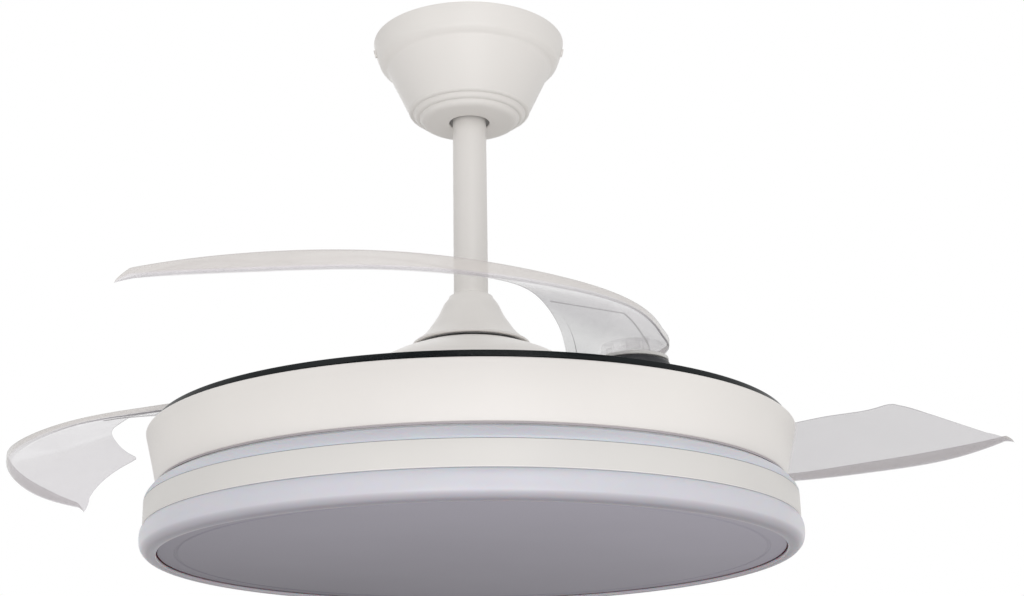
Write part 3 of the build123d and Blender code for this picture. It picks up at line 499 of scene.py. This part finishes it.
# ---- ceiling end ----
def canopy():
    """The ceiling cup: rim, rounded shoulder, cone, two beads and the plate round the rod."""
    reach, low = millimetres("canopy")[:2]
    foot = 50.2      # radius where the cone meets the upper bead
    rod_hole = 16.5
    bead_in, bead_down = 5.0, 3.7  # from the upper bead to the lower one
    rim = [(reach, -1.0), (reach - 1.2, -7.0), (reach - 3.2, -13.4)]
    shoulder = [(reach - 3.8, -15.0), (reach - 5.4, -18.6), (reach - 8.4, -21.4),
                (reach - 11.0, -23.2), (reach - 12.2, -25.4)]
    bead = [(foot, -61.0), (foot - 0.2, -62.3), (foot - 1.1, -63.4), (foot - 2.5, -64.1),
            (foot - 3.8, -64.0)]
    groove = [(foot - 4.2, -64.5)]
    lower_bead = [(radius - bead_in, height - bead_down) for radius, height in bead[1:]]
    plate = [(foot - 9.2, low + 4.5), (foot - 9.8, low + 3.4), (foot - 11.2, low + 1.6),
             (foot - 13.4, low + 0.6), (foot - 16.0, low + 0.2)]
    bore = [(rod_hole + 0.7, low + 0.2), (rod_hole, low + 0.8), (rod_hole, low + 1.8)]
    inside = [(34.0, low + 1.8), (46.0, -62.8), (reach - 14.0, -25.0), (reach - 5.6, -14.0),
              (reach - 2.0, -1.0)]
    outside = through(rim, 3) + through(shoulder, 3) + bead + groove + lower_bead + plate
    piece = turned("canopy_shell", outside + bore + inside)
    rounded(piece, 0.35, segments=2, angle=30)
    return finished(piece, "cream_paint", "ceiling_unit", "canopy")


def downrod():
    """The tube that carries the fan."""
    reach, low, high = millimetres("downrod")
    wall = 1.6
    piece = turned("downrod_tube", flat_ring(reach - wall, reach, low, high), SMALL_STEPS)
    rounded(piece, 0.5)
    return finished(piece, "cream_paint", "hanging_unit", "downrod")


def coupling_bell():
    """The bell that slides down the rod over the coupling."""
    reach, low, high = millimetres("coupling_cover")
    rod_hole = 13.85
    top = [(rod_hole, high), (15.6, high), (17.6, high - 1.2)]
    flare = [(18.3, high - 3.0), (22.0, low + 34.1), (26.0, low + 25.6), (31.0, low + 17.6),
             (37.2, low + 9.3), (reach - 1.6, low + 2.1)]
    lip = [(reach - 0.6, low + 2.0), (reach, low + 1.4), (reach, low + 0.5), (reach - 0.5, low),
           (reach - 3.0, low)]
    inside = [(reach - 4.2, low + 1.2), (36.0, low + 8.0), (29.6, low + 16.6),
              (24.6, low + 25.0), (17.0, high - 4.0), (rod_hole, high - 3.4)]
    piece = turned("coupling_bell", top + through(flare, 5) + lip + inside, BELL_STEPS)
    rounded(piece, 0.25, segments=2, angle=40)
    return finished(piece, "cream_paint", "hanging_unit", "coupling_cover")


# ---- motor and disc ----
def motor_dome():
    """The motor's top cover, which turns with the blades."""
    reach, low, high = millimetres("rotor_top_cover")
    shaft_hole = 11.6
    wall = 2.5
    cap = [(shaft_hole, high), (reach - 47.0, high)]
    dome = [(reach - 45.0, high - 0.1), (reach - 37.0, high - 3.2), (reach - 26.0, high - 8.0),
            (reach - 12.0, high - 16.0), (reach - 3.0, high - 24.0), (reach, high - 30.0)]
    skirt = [(reach, low + 0.8), (reach - 0.8, low), (reach - wall, low)]
    inside = [(reach - wall, high - 30.4), (reach - 5.1, high - 25.4), (reach - 13.6, high - 18.0),
              (reach - 27.2, high - 10.4), (reach - 38.0, high - 5.6), (reach - 46.0, high - 2.7),
              (shaft_hole, high - 2.6)]
    piece = turned("motor_dome", cap + through(dome, 5) + skirt + inside)
    return finished(piece, "cream_paint", "rotor", "rotor_top_cover")


def carrier_disc():
    """The thin black disc that carries the blades' pivots."""
    reach, low, high = millimetres("blade_carrier")
    bore = 21.0
    top = [(bore, high), (reach - 0.4, high)]
    edge = [(reach, high - 0.4), (reach, low + 0.9), (reach - 0.9, low)]
    piece = turned("carrier_disc", top + edge + [(bore, low)])
    rounded(piece, 0.25, segments=2, angle=20)
    return finished(piece, "gloss_black", "rotor", "blade_carrier")


# ---- drum and light ----
def drum():
    """The open pan over the light, with a tapered wall."""
    reach, low, high = millimetres("drum_shell")
    wall = 1.2
    foot = 239.0     # radius of the wall at its foot
    shaft_hole = 8.7
    lip = [(reach - 1.4, high), (reach - 0.5, high - 0.1), (reach, high - 0.9)]
    outside = [(reach - 4.7, (low + high) / 2), (foot + 0.5, low + 0.8), (foot - 0.6, low)]
    inside = [(shaft_hole, low), (shaft_hole, low + wall), (foot - wall, low + wall),
              (reach - 1.3 - wall, high - 1.0)]
    piece = turned("drum_pan", lip + outside + inside)
    rounded(piece, 0.25, segments=2, angle=40)
    return finished(piece, "cream_paint", "hanging_unit", "drum_shell")


def light_strip():
    """The translucent strip between drum and band, a shoulder that swells outwards."""
    reach, low, high = millimetres("light_strip")
    start = 239.1    # radius under the drum's foot
    outside = [(start, high - 0.9), (start + 3.8, high - 3.0), (reach - 2.0, high - 6.4),
               (reach - 0.3, low + 2.0), (reach - 0.1, low)]
    inside = [(reach - 3.2, low), (reach - 3.6, low + 2.6), (reach - 5.2, high - 6.8),
              (start, high - 3.8)]
    piece = turned("light_strip", through(outside, 5) + through(inside, 3))
    return finished(piece, "frosted_acrylic", "hanging_unit", "light_strip")


def trim_band():
    """The painted band over the lamp rim, in a darker copy of the cream paint that is painted
    shade.
    """
    reach, low, high = millimetres("trim_band")
    wall = 1.5
    flange = 238.8   # inner radius of the flange on top
    outside = [(reach, low), (reach, high), (flange, high)]
    inside = [(flange, high - wall), (reach - wall, high - wall), (reach - wall, low)]
    piece = turned("trim_band", outside + inside)
    rounded(piece, 0.5, segments=3, angle=40)
    return finished(piece, "cream_paint", "hanging_unit", "trim_band", look="shaded_cream_paint")


def lamp_rim():
    """The rounded translucent rim, with the collar that twists into the tray."""
    reach, low, high = millimetres("lamp_ring")
    top = low + 19.6
    neck = 232.0
    neck_wall = 3.0
    outside = [(reach - 2.4, top + 0.4), (reach - 0.7, top - 2.2), (reach, top - 7.2),
               (reach - 0.9, top - 13.6), (reach - 4.6, top - 18.0), (reach - 9.0, top - 19.5),
               (reach - 12.4, top - 19.2)]
    lip = [(reach - 13.0, top - 18.6), (reach - 13.0, top - 17.0)]
    inside = [(reach - 6.4, top - 15.6), (reach - 3.4, top - 9.0), (reach - 4.0, top - 3.0),
              (neck - neck_wall, top - 3.0)]
    collar = [(neck - neck_wall, high), (neck, high), (neck, top)]
    piece = turned("lamp_rim", through(outside, 5) + lip + inside + collar)
    rounded(piece, 0.3, segments=2, angle=45)
    return finished(piece, "frosted_acrylic", "lampshade", "lamp_ring")


def diffuser():
    """The flat diffuser sheet with a shallow groove near its edge."""
    reach, low, high = millimetres("diffuser")
    middle = 2.0     # radius of the last ring, closed by one face
    groove = 223.0
    sheet = 2.5
    face_z = low + 0.05
    rim = reach - 6.0
    back = [(middle, low + sheet), (rim, low + sheet), (rim, high), (reach, high)]
    edge = [(reach, low + 0.7), (reach - 0.7, low)]
    dip = [(groove + 1.6, low), (groove + 0.6, low + 0.8), (groove - 0.6, low + 0.8),
           (groove - 1.6, face_z)]
    face = [(reach * share, face_z) for share in (0.8, 0.5, 0.2)] + [(middle, face_z)]
    piece = turned("diffuser_sheet", back + edge + dip + face, solid=True)
    return finished(piece, "opal", "lampshade", "diffuser")


def seam_shades():
    """Two flat grey rings in the slits between the shells of the light, painted shade that stands
    in for the shade lines at these seams.
    """
    drum_low = millimetres("drum_shell")[1]
    band_reach, band_low = millimetres("trim_band")[:2]
    clear = 0.02     # room over each ring
    drum_seam_shade = flat_ring(237.7, 239.7, drum_low - 1.3, drum_low - clear)
    band_seam_shade = flat_ring(band_reach - 4.5, band_reach - 0.5, band_low - 0.5, band_low - clear)
    for name, outline, look in (("drum_seam_shade", drum_seam_shade, "grey_seam_shade"),
                                ("band_seam_shade", band_seam_shade, "pale_seam_shade")):
        finished(turned(name, outline), "dark_nylon", "hanging_unit", look=look)


# ---- blades ----
# Each blade is made folded over the disc, its pivot on +X, in millimetres and
# degrees clockwise past the pivot, then opened and turned to its place.
JOINTS = {joint["child"]: joint for joint in frame["joints"]}
PIVOT_R = math.hypot(*JOINTS["front_blade"]["pos_m"][:2]) / MM
PIN_HOLE_R = 5.1
NECK_R = 8.0
BOSS_HOLE_R = 8.1
BOSS_R = 23.0
BOSS_T = 4.0
HUB_R = 24.0
HUB_T = 2.6
HUB_GAP = 0.4
PUCK_R = 25.0
PUCK_H = 9.0
NECK_RISE = 2.5          # of the neck over the blade
DISC_TOP_Z = millimetres("blade_carrier")[2]
PUCK_TOP_Z = DISC_TOP_Z + PUCK_H
HUB_LOW_Z = PUCK_TOP_Z + HUB_GAP
BOSS_LOW_Z = HUB_LOW_Z + HUB_T
BLADE_ROOT_Z = BOSS_LOW_Z + BOSS_T
BLADE_T = 2.5
BLADE_INSIDE = 46.0      # reach of the root inside the pivot's circle
ROOT_OUTSIDE = 23.5      # reach of its round end outside that circle
ROOT_R = (BLADE_INSIDE + ROOT_OUTSIDE) / 2
ROOT_CENTRE = PIVOT_R - BLADE_INSIDE + ROOT_R
# degrees, reach outside and inside the pivot's circle, drop of the outer edge,
# pitch, height of the lip, crown
BLADE_STATIONS = [
    (-11.0, 8.0, BLADE_INSIDE, 0.0, 0.00, 5.5, 0.0),
    (0.0, 24.0, BLADE_INSIDE, 0.0, 0.02, 5.5, 0.0),
    (12.0, 24.5, BLADE_INSIDE, 1.2, 0.20, 5.5, 0.0),
    (28.0, 29.8, BLADE_INSIDE, 3.0, 0.35, 5.3, 0.0),
    (48.0, 36.6, 48.0, 9.2, 0.38, 8.2, 0.0),
    (72.0, 35.2, 51.0, 11.4, 0.435, 12.0, 1.0),
    (92.0, 36.8, 51.0, 13.8, 0.42, 12.5, 3.0),
    (111.0, 42.0, 46.0, 12.2, 0.42, 7.0, 6.0),
]
# the hollow tip edge: reach outside the pivot's circle, and degrees
CORNER = (-42.0, 100.5)
TIP_BEND = (18.0, 104.5)
TIP = (45.0, 111.4)
TIP_END = 110.1          # where the rounded tip ends, in degrees
TIP_WIDTH = 15.0         # width under which the tip rounds off
CORNER_ROUND = 4.0       # degrees over which the inner corner rounds off
LIP_FADE = 15.0          # width of the tip under which its lip comes down
LIP_BEND = 3.0           # radius of the turned-up lip's foot
ROOT_ROWS = 12
BODY_ROWS = 110
TIP_ROWS = 22
END_ROWS = 8
BEND_STEPS = 6
# shares of the way from the lip's foot to the inner edge
SHEET_SHARES = (0.015, 0.05, 0.1, 0.16, 0.24, 0.34, 0.44, 0.54, 0.64, 0.74, 0.84, 0.9, 0.95,
                0.985, 1.0)
PAD_SHARES = (0.14, 0.92)
PAD_DEGREES = (-8.6, 24.0)
CREASE_COLUMNS = (4, 5)  # faces across the sheet that carry the painted shade line at the lip's foot
BLADE_FINISHES = ("clear_acrylic", "acrylic_edge", "painted_crease_shade")
FACE_FINISH, EDGE_FINISH, CREASE_FINISH = range(3)


def blade_at(degrees):
    """Outer and inner radius, height of the outer edge, pitch, lip height and crown at an angle."""
    last = len(BLADE_STATIONS) - 1
    i = max(k for k in range(last) if k == 0 or BLADE_STATIONS[k][0] <= degrees)
    before, start, end = BLADE_STATIONS[max(i - 1, 0)], BLADE_STATIONS[i], BLADE_STATIONS[i + 1]
    after = BLADE_STATIONS[min(i + 2, last)]
    span = end[0] - start[0]
    values = []
    for k in range(1, len(start)):
        slope_in = span * (end[k] - before[k]) / (end[0] - before[0])
        slope_out = span * (after[k] - start[k]) / (after[0] - start[0])
        values.append(eased(start[k], end[k], slope_in, slope_out, (degrees - start[0]) / span))
    outside, inside, drop, pitch, lip, crown = values
    return PIVOT_R + outside, PIVOT_R - inside, BLADE_ROOT_Z - drop, pitch, lip, crown


def root_chord(turn):
    """Inner and outer radius of the round root end at an angle in radians."""
    middle = ROOT_CENTRE * math.cos(turn)
    half = math.sqrt(max(ROOT_R**2 - (ROOT_CENTRE * math.sin(turn)) ** 2, 0))
    return middle - half, middle + half


def root_rows():
    """(degrees, inner radius, outer radius) round the root end, from its end to the pivot."""
    furthest = math.asin(ROOT_R / ROOT_CENTRE)
    rows = []
    for k in range(ROOT_ROWS):
        turn = -furthest * math.cos(k / ROOT_ROWS * math.pi / 2)
        degrees = math.degrees(turn)
        inner, outer = root_chord(turn)
        rows.append((degrees, inner, max((inner + outer) / 2, min(outer, blade_at(degrees)[0]))))
    return rows


def body_rows():
    """From the pivot to the rounded inner corner."""
    rows = []
    for k in range(BODY_ROWS):
        degrees = CORNER[1] * k / BODY_ROWS
        near_corner = max(0.0, 1 - (CORNER[1] - degrees) / CORNER_ROUND)
        outer, inner = blade_at(degrees)[:2]
        rounding = (PIVOT_R + CORNER[0] - inner) * (1 - math.sqrt(1 - near_corner**2))
        rows.append((degrees, inner + rounding, outer))
    return rows


def tip_rows():
    """From the rounded corner along the hollow tip edge to the rounded tip."""
    rows = []
    for k in range(1, TIP_ROWS):
        share = k / TIP_ROWS
        weights = ((1 - share) ** 2, 2 * share * (1 - share), share**2)
        reach, degrees = [
            sum(weight * point[i] for weight, point in zip(weights, (CORNER, TIP_BEND, TIP)))
            for i in (0, 1)
        ]
        outer = blade_at(degrees)[0]
        if outer - PIVOT_R - reach < TIP_WIDTH:
            break
        rows.append((degrees, PIVOT_R + reach, outer))
    (last, inner, outer), (earlier, inner_before, outer_before) = rows[-1], rows[-2]
    drift = (inner + outer - inner_before - outer_before) / 2 / (last - earlier)
    for k in range(1, END_ROWS + 1):
        quarter = k / END_ROWS * math.pi / 2
        degrees = last + math.sin(quarter) * (TIP_END - last)
        middle = (inner + outer) / 2 + drift * (degrees - last)
        half = (outer - inner) / 2 * math.cos(quarter)
        rows.append((degrees, middle - half, min(middle + half, blade_at(degrees)[0])))
    return rows


def blade_row(degrees, inner, outer):
    """Points across the blade, from the top of its lip to its inner edge."""
    edge, inside, edge_z, pitch, lip, crown = blade_at(degrees)
    width = edge - inside

    def height(radius):
        """Height of the sheet's underside."""
        share = (edge - radius) / width
        return edge_z + pitch * (edge - radius) + 4 * crown * share * (1 - share)

    low = height(outer)
    lip *= min(1.0, (outer - inner) / LIP_FADE)
    slope = pitch + 4 * crown / width * (1 - 2 * (edge - outer) / width)
    lean = math.atan(slope)
    bend = min(LIP_BEND, 0.4 * lip, 0.3 * (outer - inner))
    centre_z = low + slope * bend + bend / math.cos(lean)
    lip_top = max(low + lip, centre_z)
    points = [(outer, lip_top), (outer, (lip_top + centre_z) / 2)]
    for k in range(BEND_STEPS + 1):
        turn = (math.pi / 2 + lean) * k / BEND_STEPS
        points.append((outer - bend + bend * math.cos(turn), centre_z - bend * math.sin(turn)))
    foot = points[-1][0]
    for share in SHEET_SHARES:
        radius = foot + share * (inner - foot)
        points.append((radius, height(radius)))
    turn = -math.radians(degrees)
    return [Vector((radius * math.cos(turn), radius * math.sin(turn), z)) * MM
            for radius, z in points]


def blade_sheet():
    """The clear sheet: a grid laid along the blade, given its thickness, edges and root pad."""
    rows = [blade_row(*row) for row in root_rows() + body_rows() + tip_rows()]
    faces_across = len(rows[0]) - 1
    bpy.ops.object.select_all(action="DESELECT")
    bpy.ops.mesh.primitive_grid_add(
        x_subdivisions=faces_across, y_subdivisions=len(rows) - 1, size=1)
    piece = bpy.context.active_object
    piece.name = "clear_blade"
    for vertex, place in zip(piece.data.vertices, [point for row in rows for point in row]):
        vertex.co = place
    for finish in BLADE_FINISHES:
        piece.data.materials.append(FINISHES[finish])
    for face in piece.data.polygons:
        creased = face.index % faces_across in CREASE_COLUMNS
        face.material_index = CREASE_FINISH if creased else FACE_FINISH
    start_edit()
    bpy.ops.mesh.remove_doubles(threshold=0.01 * MM)
    bpy.ops.mesh.normals_make_consistent(inside=False)
    end_edit()
    if sum(face.normal.z * face.area for face in piece.data.polygons) > 0:
        piece.data.flip_normals()
    underside = len(piece.data.polygons)
    sheet = piece.modifiers.new("sheet", "SOLIDIFY")
    sheet.thickness = BLADE_T * MM
    sheet.offset = -1
    sheet.use_even_offset = True
    sheet.thickness_clamp = 2.0
    sheet.material_offset_rim = EDGE_FINISH
    bpy.ops.object.modifier_apply(modifier=sheet.name)
    for face in piece.data.polygons[underside:2 * underside]:
        face.material_index = FACE_FINISH
    rounded(piece, 0.45, segments=2, angle=55)
    root_pad(piece)
    return piece


def pad_covers(centre):
    """Whether a point on the blade's underside lies within the root pad."""
    radius = math.hypot(centre.x, centre.y) / MM
    degrees = -math.degrees(math.atan2(centre.y, centre.x))
    if not PAD_DEGREES[0] < degrees < PAD_DEGREES[1]:
        return False
    if degrees > 0:
        outer, inner = blade_at(degrees)[:2]
    else:
        inner, outer = root_chord(math.radians(degrees))
    foot = outer - LIP_BEND * 0.75
    return PAD_SHARES[0] < (foot - radius) / (foot - inner) < PAD_SHARES[1]


def root_pad(piece):
    """The slightly proud pad under the root, set in from the edges."""
    bpy.context.tool_settings.mesh_select_mode = (False, False, True)
    for face in piece.data.polygons:
        face.select = face.normal.z < -0.5 and pad_covers(face.center)
    select_only(piece)
    bpy.ops.object.mode_set(mode="EDIT")
    bpy.ops.mesh.inset(thickness=0.9 * MM, depth=0.7 * MM)
    end_edit()
    pad = {face.index for face in piece.data.polygons if face.select}
    bpy.ops.object.mode_set(mode="EDIT")
    bpy.ops.mesh.select_more()
    end_edit()
    for face in piece.data.polygons:
        if face.select and face.index not in pad:
            face.material_index = EDGE_FINISH


def placed(piece, name, body, opened=True):
    """A copy of a folded piece, opened about its pivot and turned round to its place."""
    joint = JOINTS[body]
    swing = -joint["range_deg"][0] if opened else 0.0
    around_axis = math.atan2(joint["pos_m"][1], joint["pos_m"][0])
    pivot = Matrix.Translation((PIVOT_R * MM, 0, 0))
    open_up = pivot @ Matrix.Rotation(math.radians(swing), 4, "Z") @ pivot.inverted()
    copy = piece.copy()
    copy.data = piece.data.copy()
    copy.name = name
    bpy.context.scene.collection.objects.link(copy)
    copy.data.transform(Matrix.Rotation(around_axis, 4, "Z") @ open_up)
    return copy


def turned_at_pivot(name, outline, rounding, steps=SMALL_STEPS):
    """A turned piece with rounded edges, set round the folded blade's pivot."""
    piece = turned(name, outline, steps)
    piece.data.transform(Matrix.Translation((PIVOT_R * MM, 0, 0)))
    rounded(piece, rounding)
    return piece


def blades():
    """Three blades with the boss, hub, neck and puck of each."""
    sheet = blade_sheet()
    boss_ring = flat_ring(BOSS_HOLE_R, BOSS_R, BOSS_LOW_Z, BLADE_ROOT_Z - 0.1)
    boss = turned_at_pivot("root_boss", boss_ring, 0.4)
    hub_top = BOSS_LOW_Z - 0.05
    hub = turned_at_pivot("blade_hub_shape", flat_ring(PIN_HOLE_R, HUB_R, HUB_LOW_Z, hub_top), 0.5)
    neck_ring = flat_ring(PIN_HOLE_R, NECK_R, hub_top, BLADE_ROOT_Z + BLADE_T + NECK_RISE)
    neck = turned_at_pivot("hub_neck_shape", neck_ring, 0.4, NECK_STEPS)
    puck_outline = [
        (PUCK_R, DISC_TOP_Z), (PUCK_R, PUCK_TOP_Z - 2.0), (PUCK_R - 0.8, PUCK_TOP_Z - 0.6),
        (PUCK_R - 2.2, PUCK_TOP_Z), (PIN_HOLE_R, PUCK_TOP_Z), (PIN_HOLE_R, DISC_TOP_Z),
    ]
    puck = turned_at_pivot("puck_shape", puck_outline, 0.4)
    for side in SIDES:
        body, blade, hub_node = f"{side}_blade", f"blade_{side}", f"blade_hub_{side}"
        finished(placed(sheet, f"{side}_blade_sheet", body), "clear_acrylic", body, blade)
        finished(placed(boss, f"{side}_root_boss", body), "clear_acrylic", body, blade,
                 look="clear_boss")
        finished(placed(hub, f"{side}_hub", body), "white_plastic", body, hub_node)
        finished(placed(neck, f"{side}_hub_neck", body), "white_plastic", body, hub_node,
                 look="clear_boss")
        finished(placed(puck, f"{side}_puck", body, opened=False), "dark_nylon", "rotor",
                 "pivot_pucks")
    for shape in (sheet, boss, hub, neck, puck):
        bpy.data.objects.remove(shape)


# ---- light, floor and camera ----
WHITE = (1.0, 1.0, 1.0, 1.0)
WARM_WHITE = (1.0, 0.99, 0.98, 1.0)
WORLD_STRENGTH = 0.68
# name, place, height of the point on the axis that it aims at, size, watts
LAMPS = (
    ("key", (0.5, -2.5, 0.4), -0.3, 1.6, 9),
    ("fill", (-1.7, -1.9, 0.3), -0.15, 1.6, 2.5),
    ("rim", (-0.4, 2.0, 0.9), -0.25, 1.4, 2),
    ("bounce", (0.15, -1.9, -1.5), -0.2, 2.0, 16),
)
FLOOR_Z = -2.4
FLOOR_SIZE = 30
CAMERA_PLACE = Vector((0.0, -1.2719, -0.6316))
CAMERA_YAW = math.radians(1.475)
CAMERA_PITCH = math.radians(17.769)
CAMERA_ROLL = math.radians(-1.0)
CAMERA_FOCAL_PX = 1669.44
PICTURE_WIDTH_PX = 1024
SENSOR_MM = 36.0
CLEAR_LAYERS = 32  # clear walls that may lie behind each other


def world_light():
    """A soft world light that is plain white where it is seen or mirrored."""
    world = bpy.data.worlds.new("studio")
    bpy.context.scene.world = world
    world.use_nodes = True
    nodes = Nodes(world.node_tree)
    background = world.node_tree.nodes["Background"]
    nodes.fill(background.inputs["Color"], WARM_WHITE)
    nodes.fill(background.inputs["Strength"], WORLD_STRENGTH)
    light = Wire(nodes, background.outputs[0])
    backdrop = nodes.node("ShaderNodeBackground", {}, Color=WHITE, Strength=1.0)
    seen_by = nodes.node("ShaderNodeLightPath", {}, out="Is Camera Ray")
    for kind in ("Is Glossy Ray", "Is Transmission Ray"):
        other = nodes.node("ShaderNodeLightPath", {}, out=kind)
        seen_by = seen_by.maths("MAXIMUM", seen_by, other)
    shown = nodes.node("ShaderNodeMixShader", {}, seen_by, light, backdrop)
    nodes.fill(world.node_tree.nodes["World Output"].inputs["Surface"], shown)


def lamp(name, place, aim_height, size, watts):
    """A round area lamp aimed at a point on the fan's axis."""
    light = bpy.data.lights.new(name, "AREA")
    light.shape = "DISK"
    light.size = size
    light.energy = watts
    lamp_object = bpy.data.objects.new(name, light)
    bpy.context.scene.collection.objects.link(lamp_object)
    lamp_object.location = place
    aim = Vector((0, 0, aim_height)) - Vector(place)
    lamp_object.rotation_euler = aim.to_track_quat("-Z", "Y").to_euler()


def floor():
    """A pale floor far below the fan, which takes its shadow."""
    bpy.ops.object.select_all(action="DESELECT")
    bpy.ops.mesh.primitive_plane_add(size=FLOOR_SIZE, location=(0, 0, FLOOR_Z))
    plane = bpy.context.active_object
    plane.name = "studio_floor"
    paint = Paint("pale_floor", Roughness=0.9)
    paint.feed(Base_Color=paint.mix(paint.cloud(2.0), rgb(236, 235, 233), rgb(240, 239, 237)))
    plane.data.materials.append(paint.material)


def camera():
    """The main view, from below the blades and in front."""
    lens = bpy.data.cameras.new("camera")
    lens.sensor_width = SENSOR_MM
    lens.lens = CAMERA_FOCAL_PX * SENSOR_MM / PICTURE_WIDTH_PX
    lens.clip_start = 0.01
    lens.clip_end = 100
    eye = bpy.data.objects.new("camera", lens)
    bpy.context.scene.collection.objects.link(eye)
    ahead = Vector((
        math.sin(CAMERA_YAW) * math.cos(CAMERA_PITCH),
        math.cos(CAMERA_YAW) * math.cos(CAMERA_PITCH),
        math.sin(CAMERA_PITCH),
    ))
    level = Vector((math.cos(CAMERA_YAW), -math.sin(CAMERA_YAW), 0.0))
    above = level.cross(ahead)
    right = math.cos(CAMERA_ROLL) * level + math.sin(CAMERA_ROLL) * above
    up = math.cos(CAMERA_ROLL) * above - math.sin(CAMERA_ROLL) * level
    turn = Matrix((right, up, -ahead)).transposed()
    eye.matrix_world = Matrix.Translation(CAMERA_PLACE) @ turn.to_4x4()
    bpy.context.scene.camera = eye


finish_cad_nodes()
canopy()
downrod()
coupling_bell()
motor_dome()
carrier_disc()
drum()
light_strip()
trim_band()
lamp_rim()
diffuser()
seam_shades()
blades()

world_light()
floor()
for row in LAMPS:
    lamp(*row)
camera()

scene = bpy.context.scene
scene.view_settings.view_transform = "Standard"
scene.cycles.transparent_max_bounces = CLEAR_LAYERS
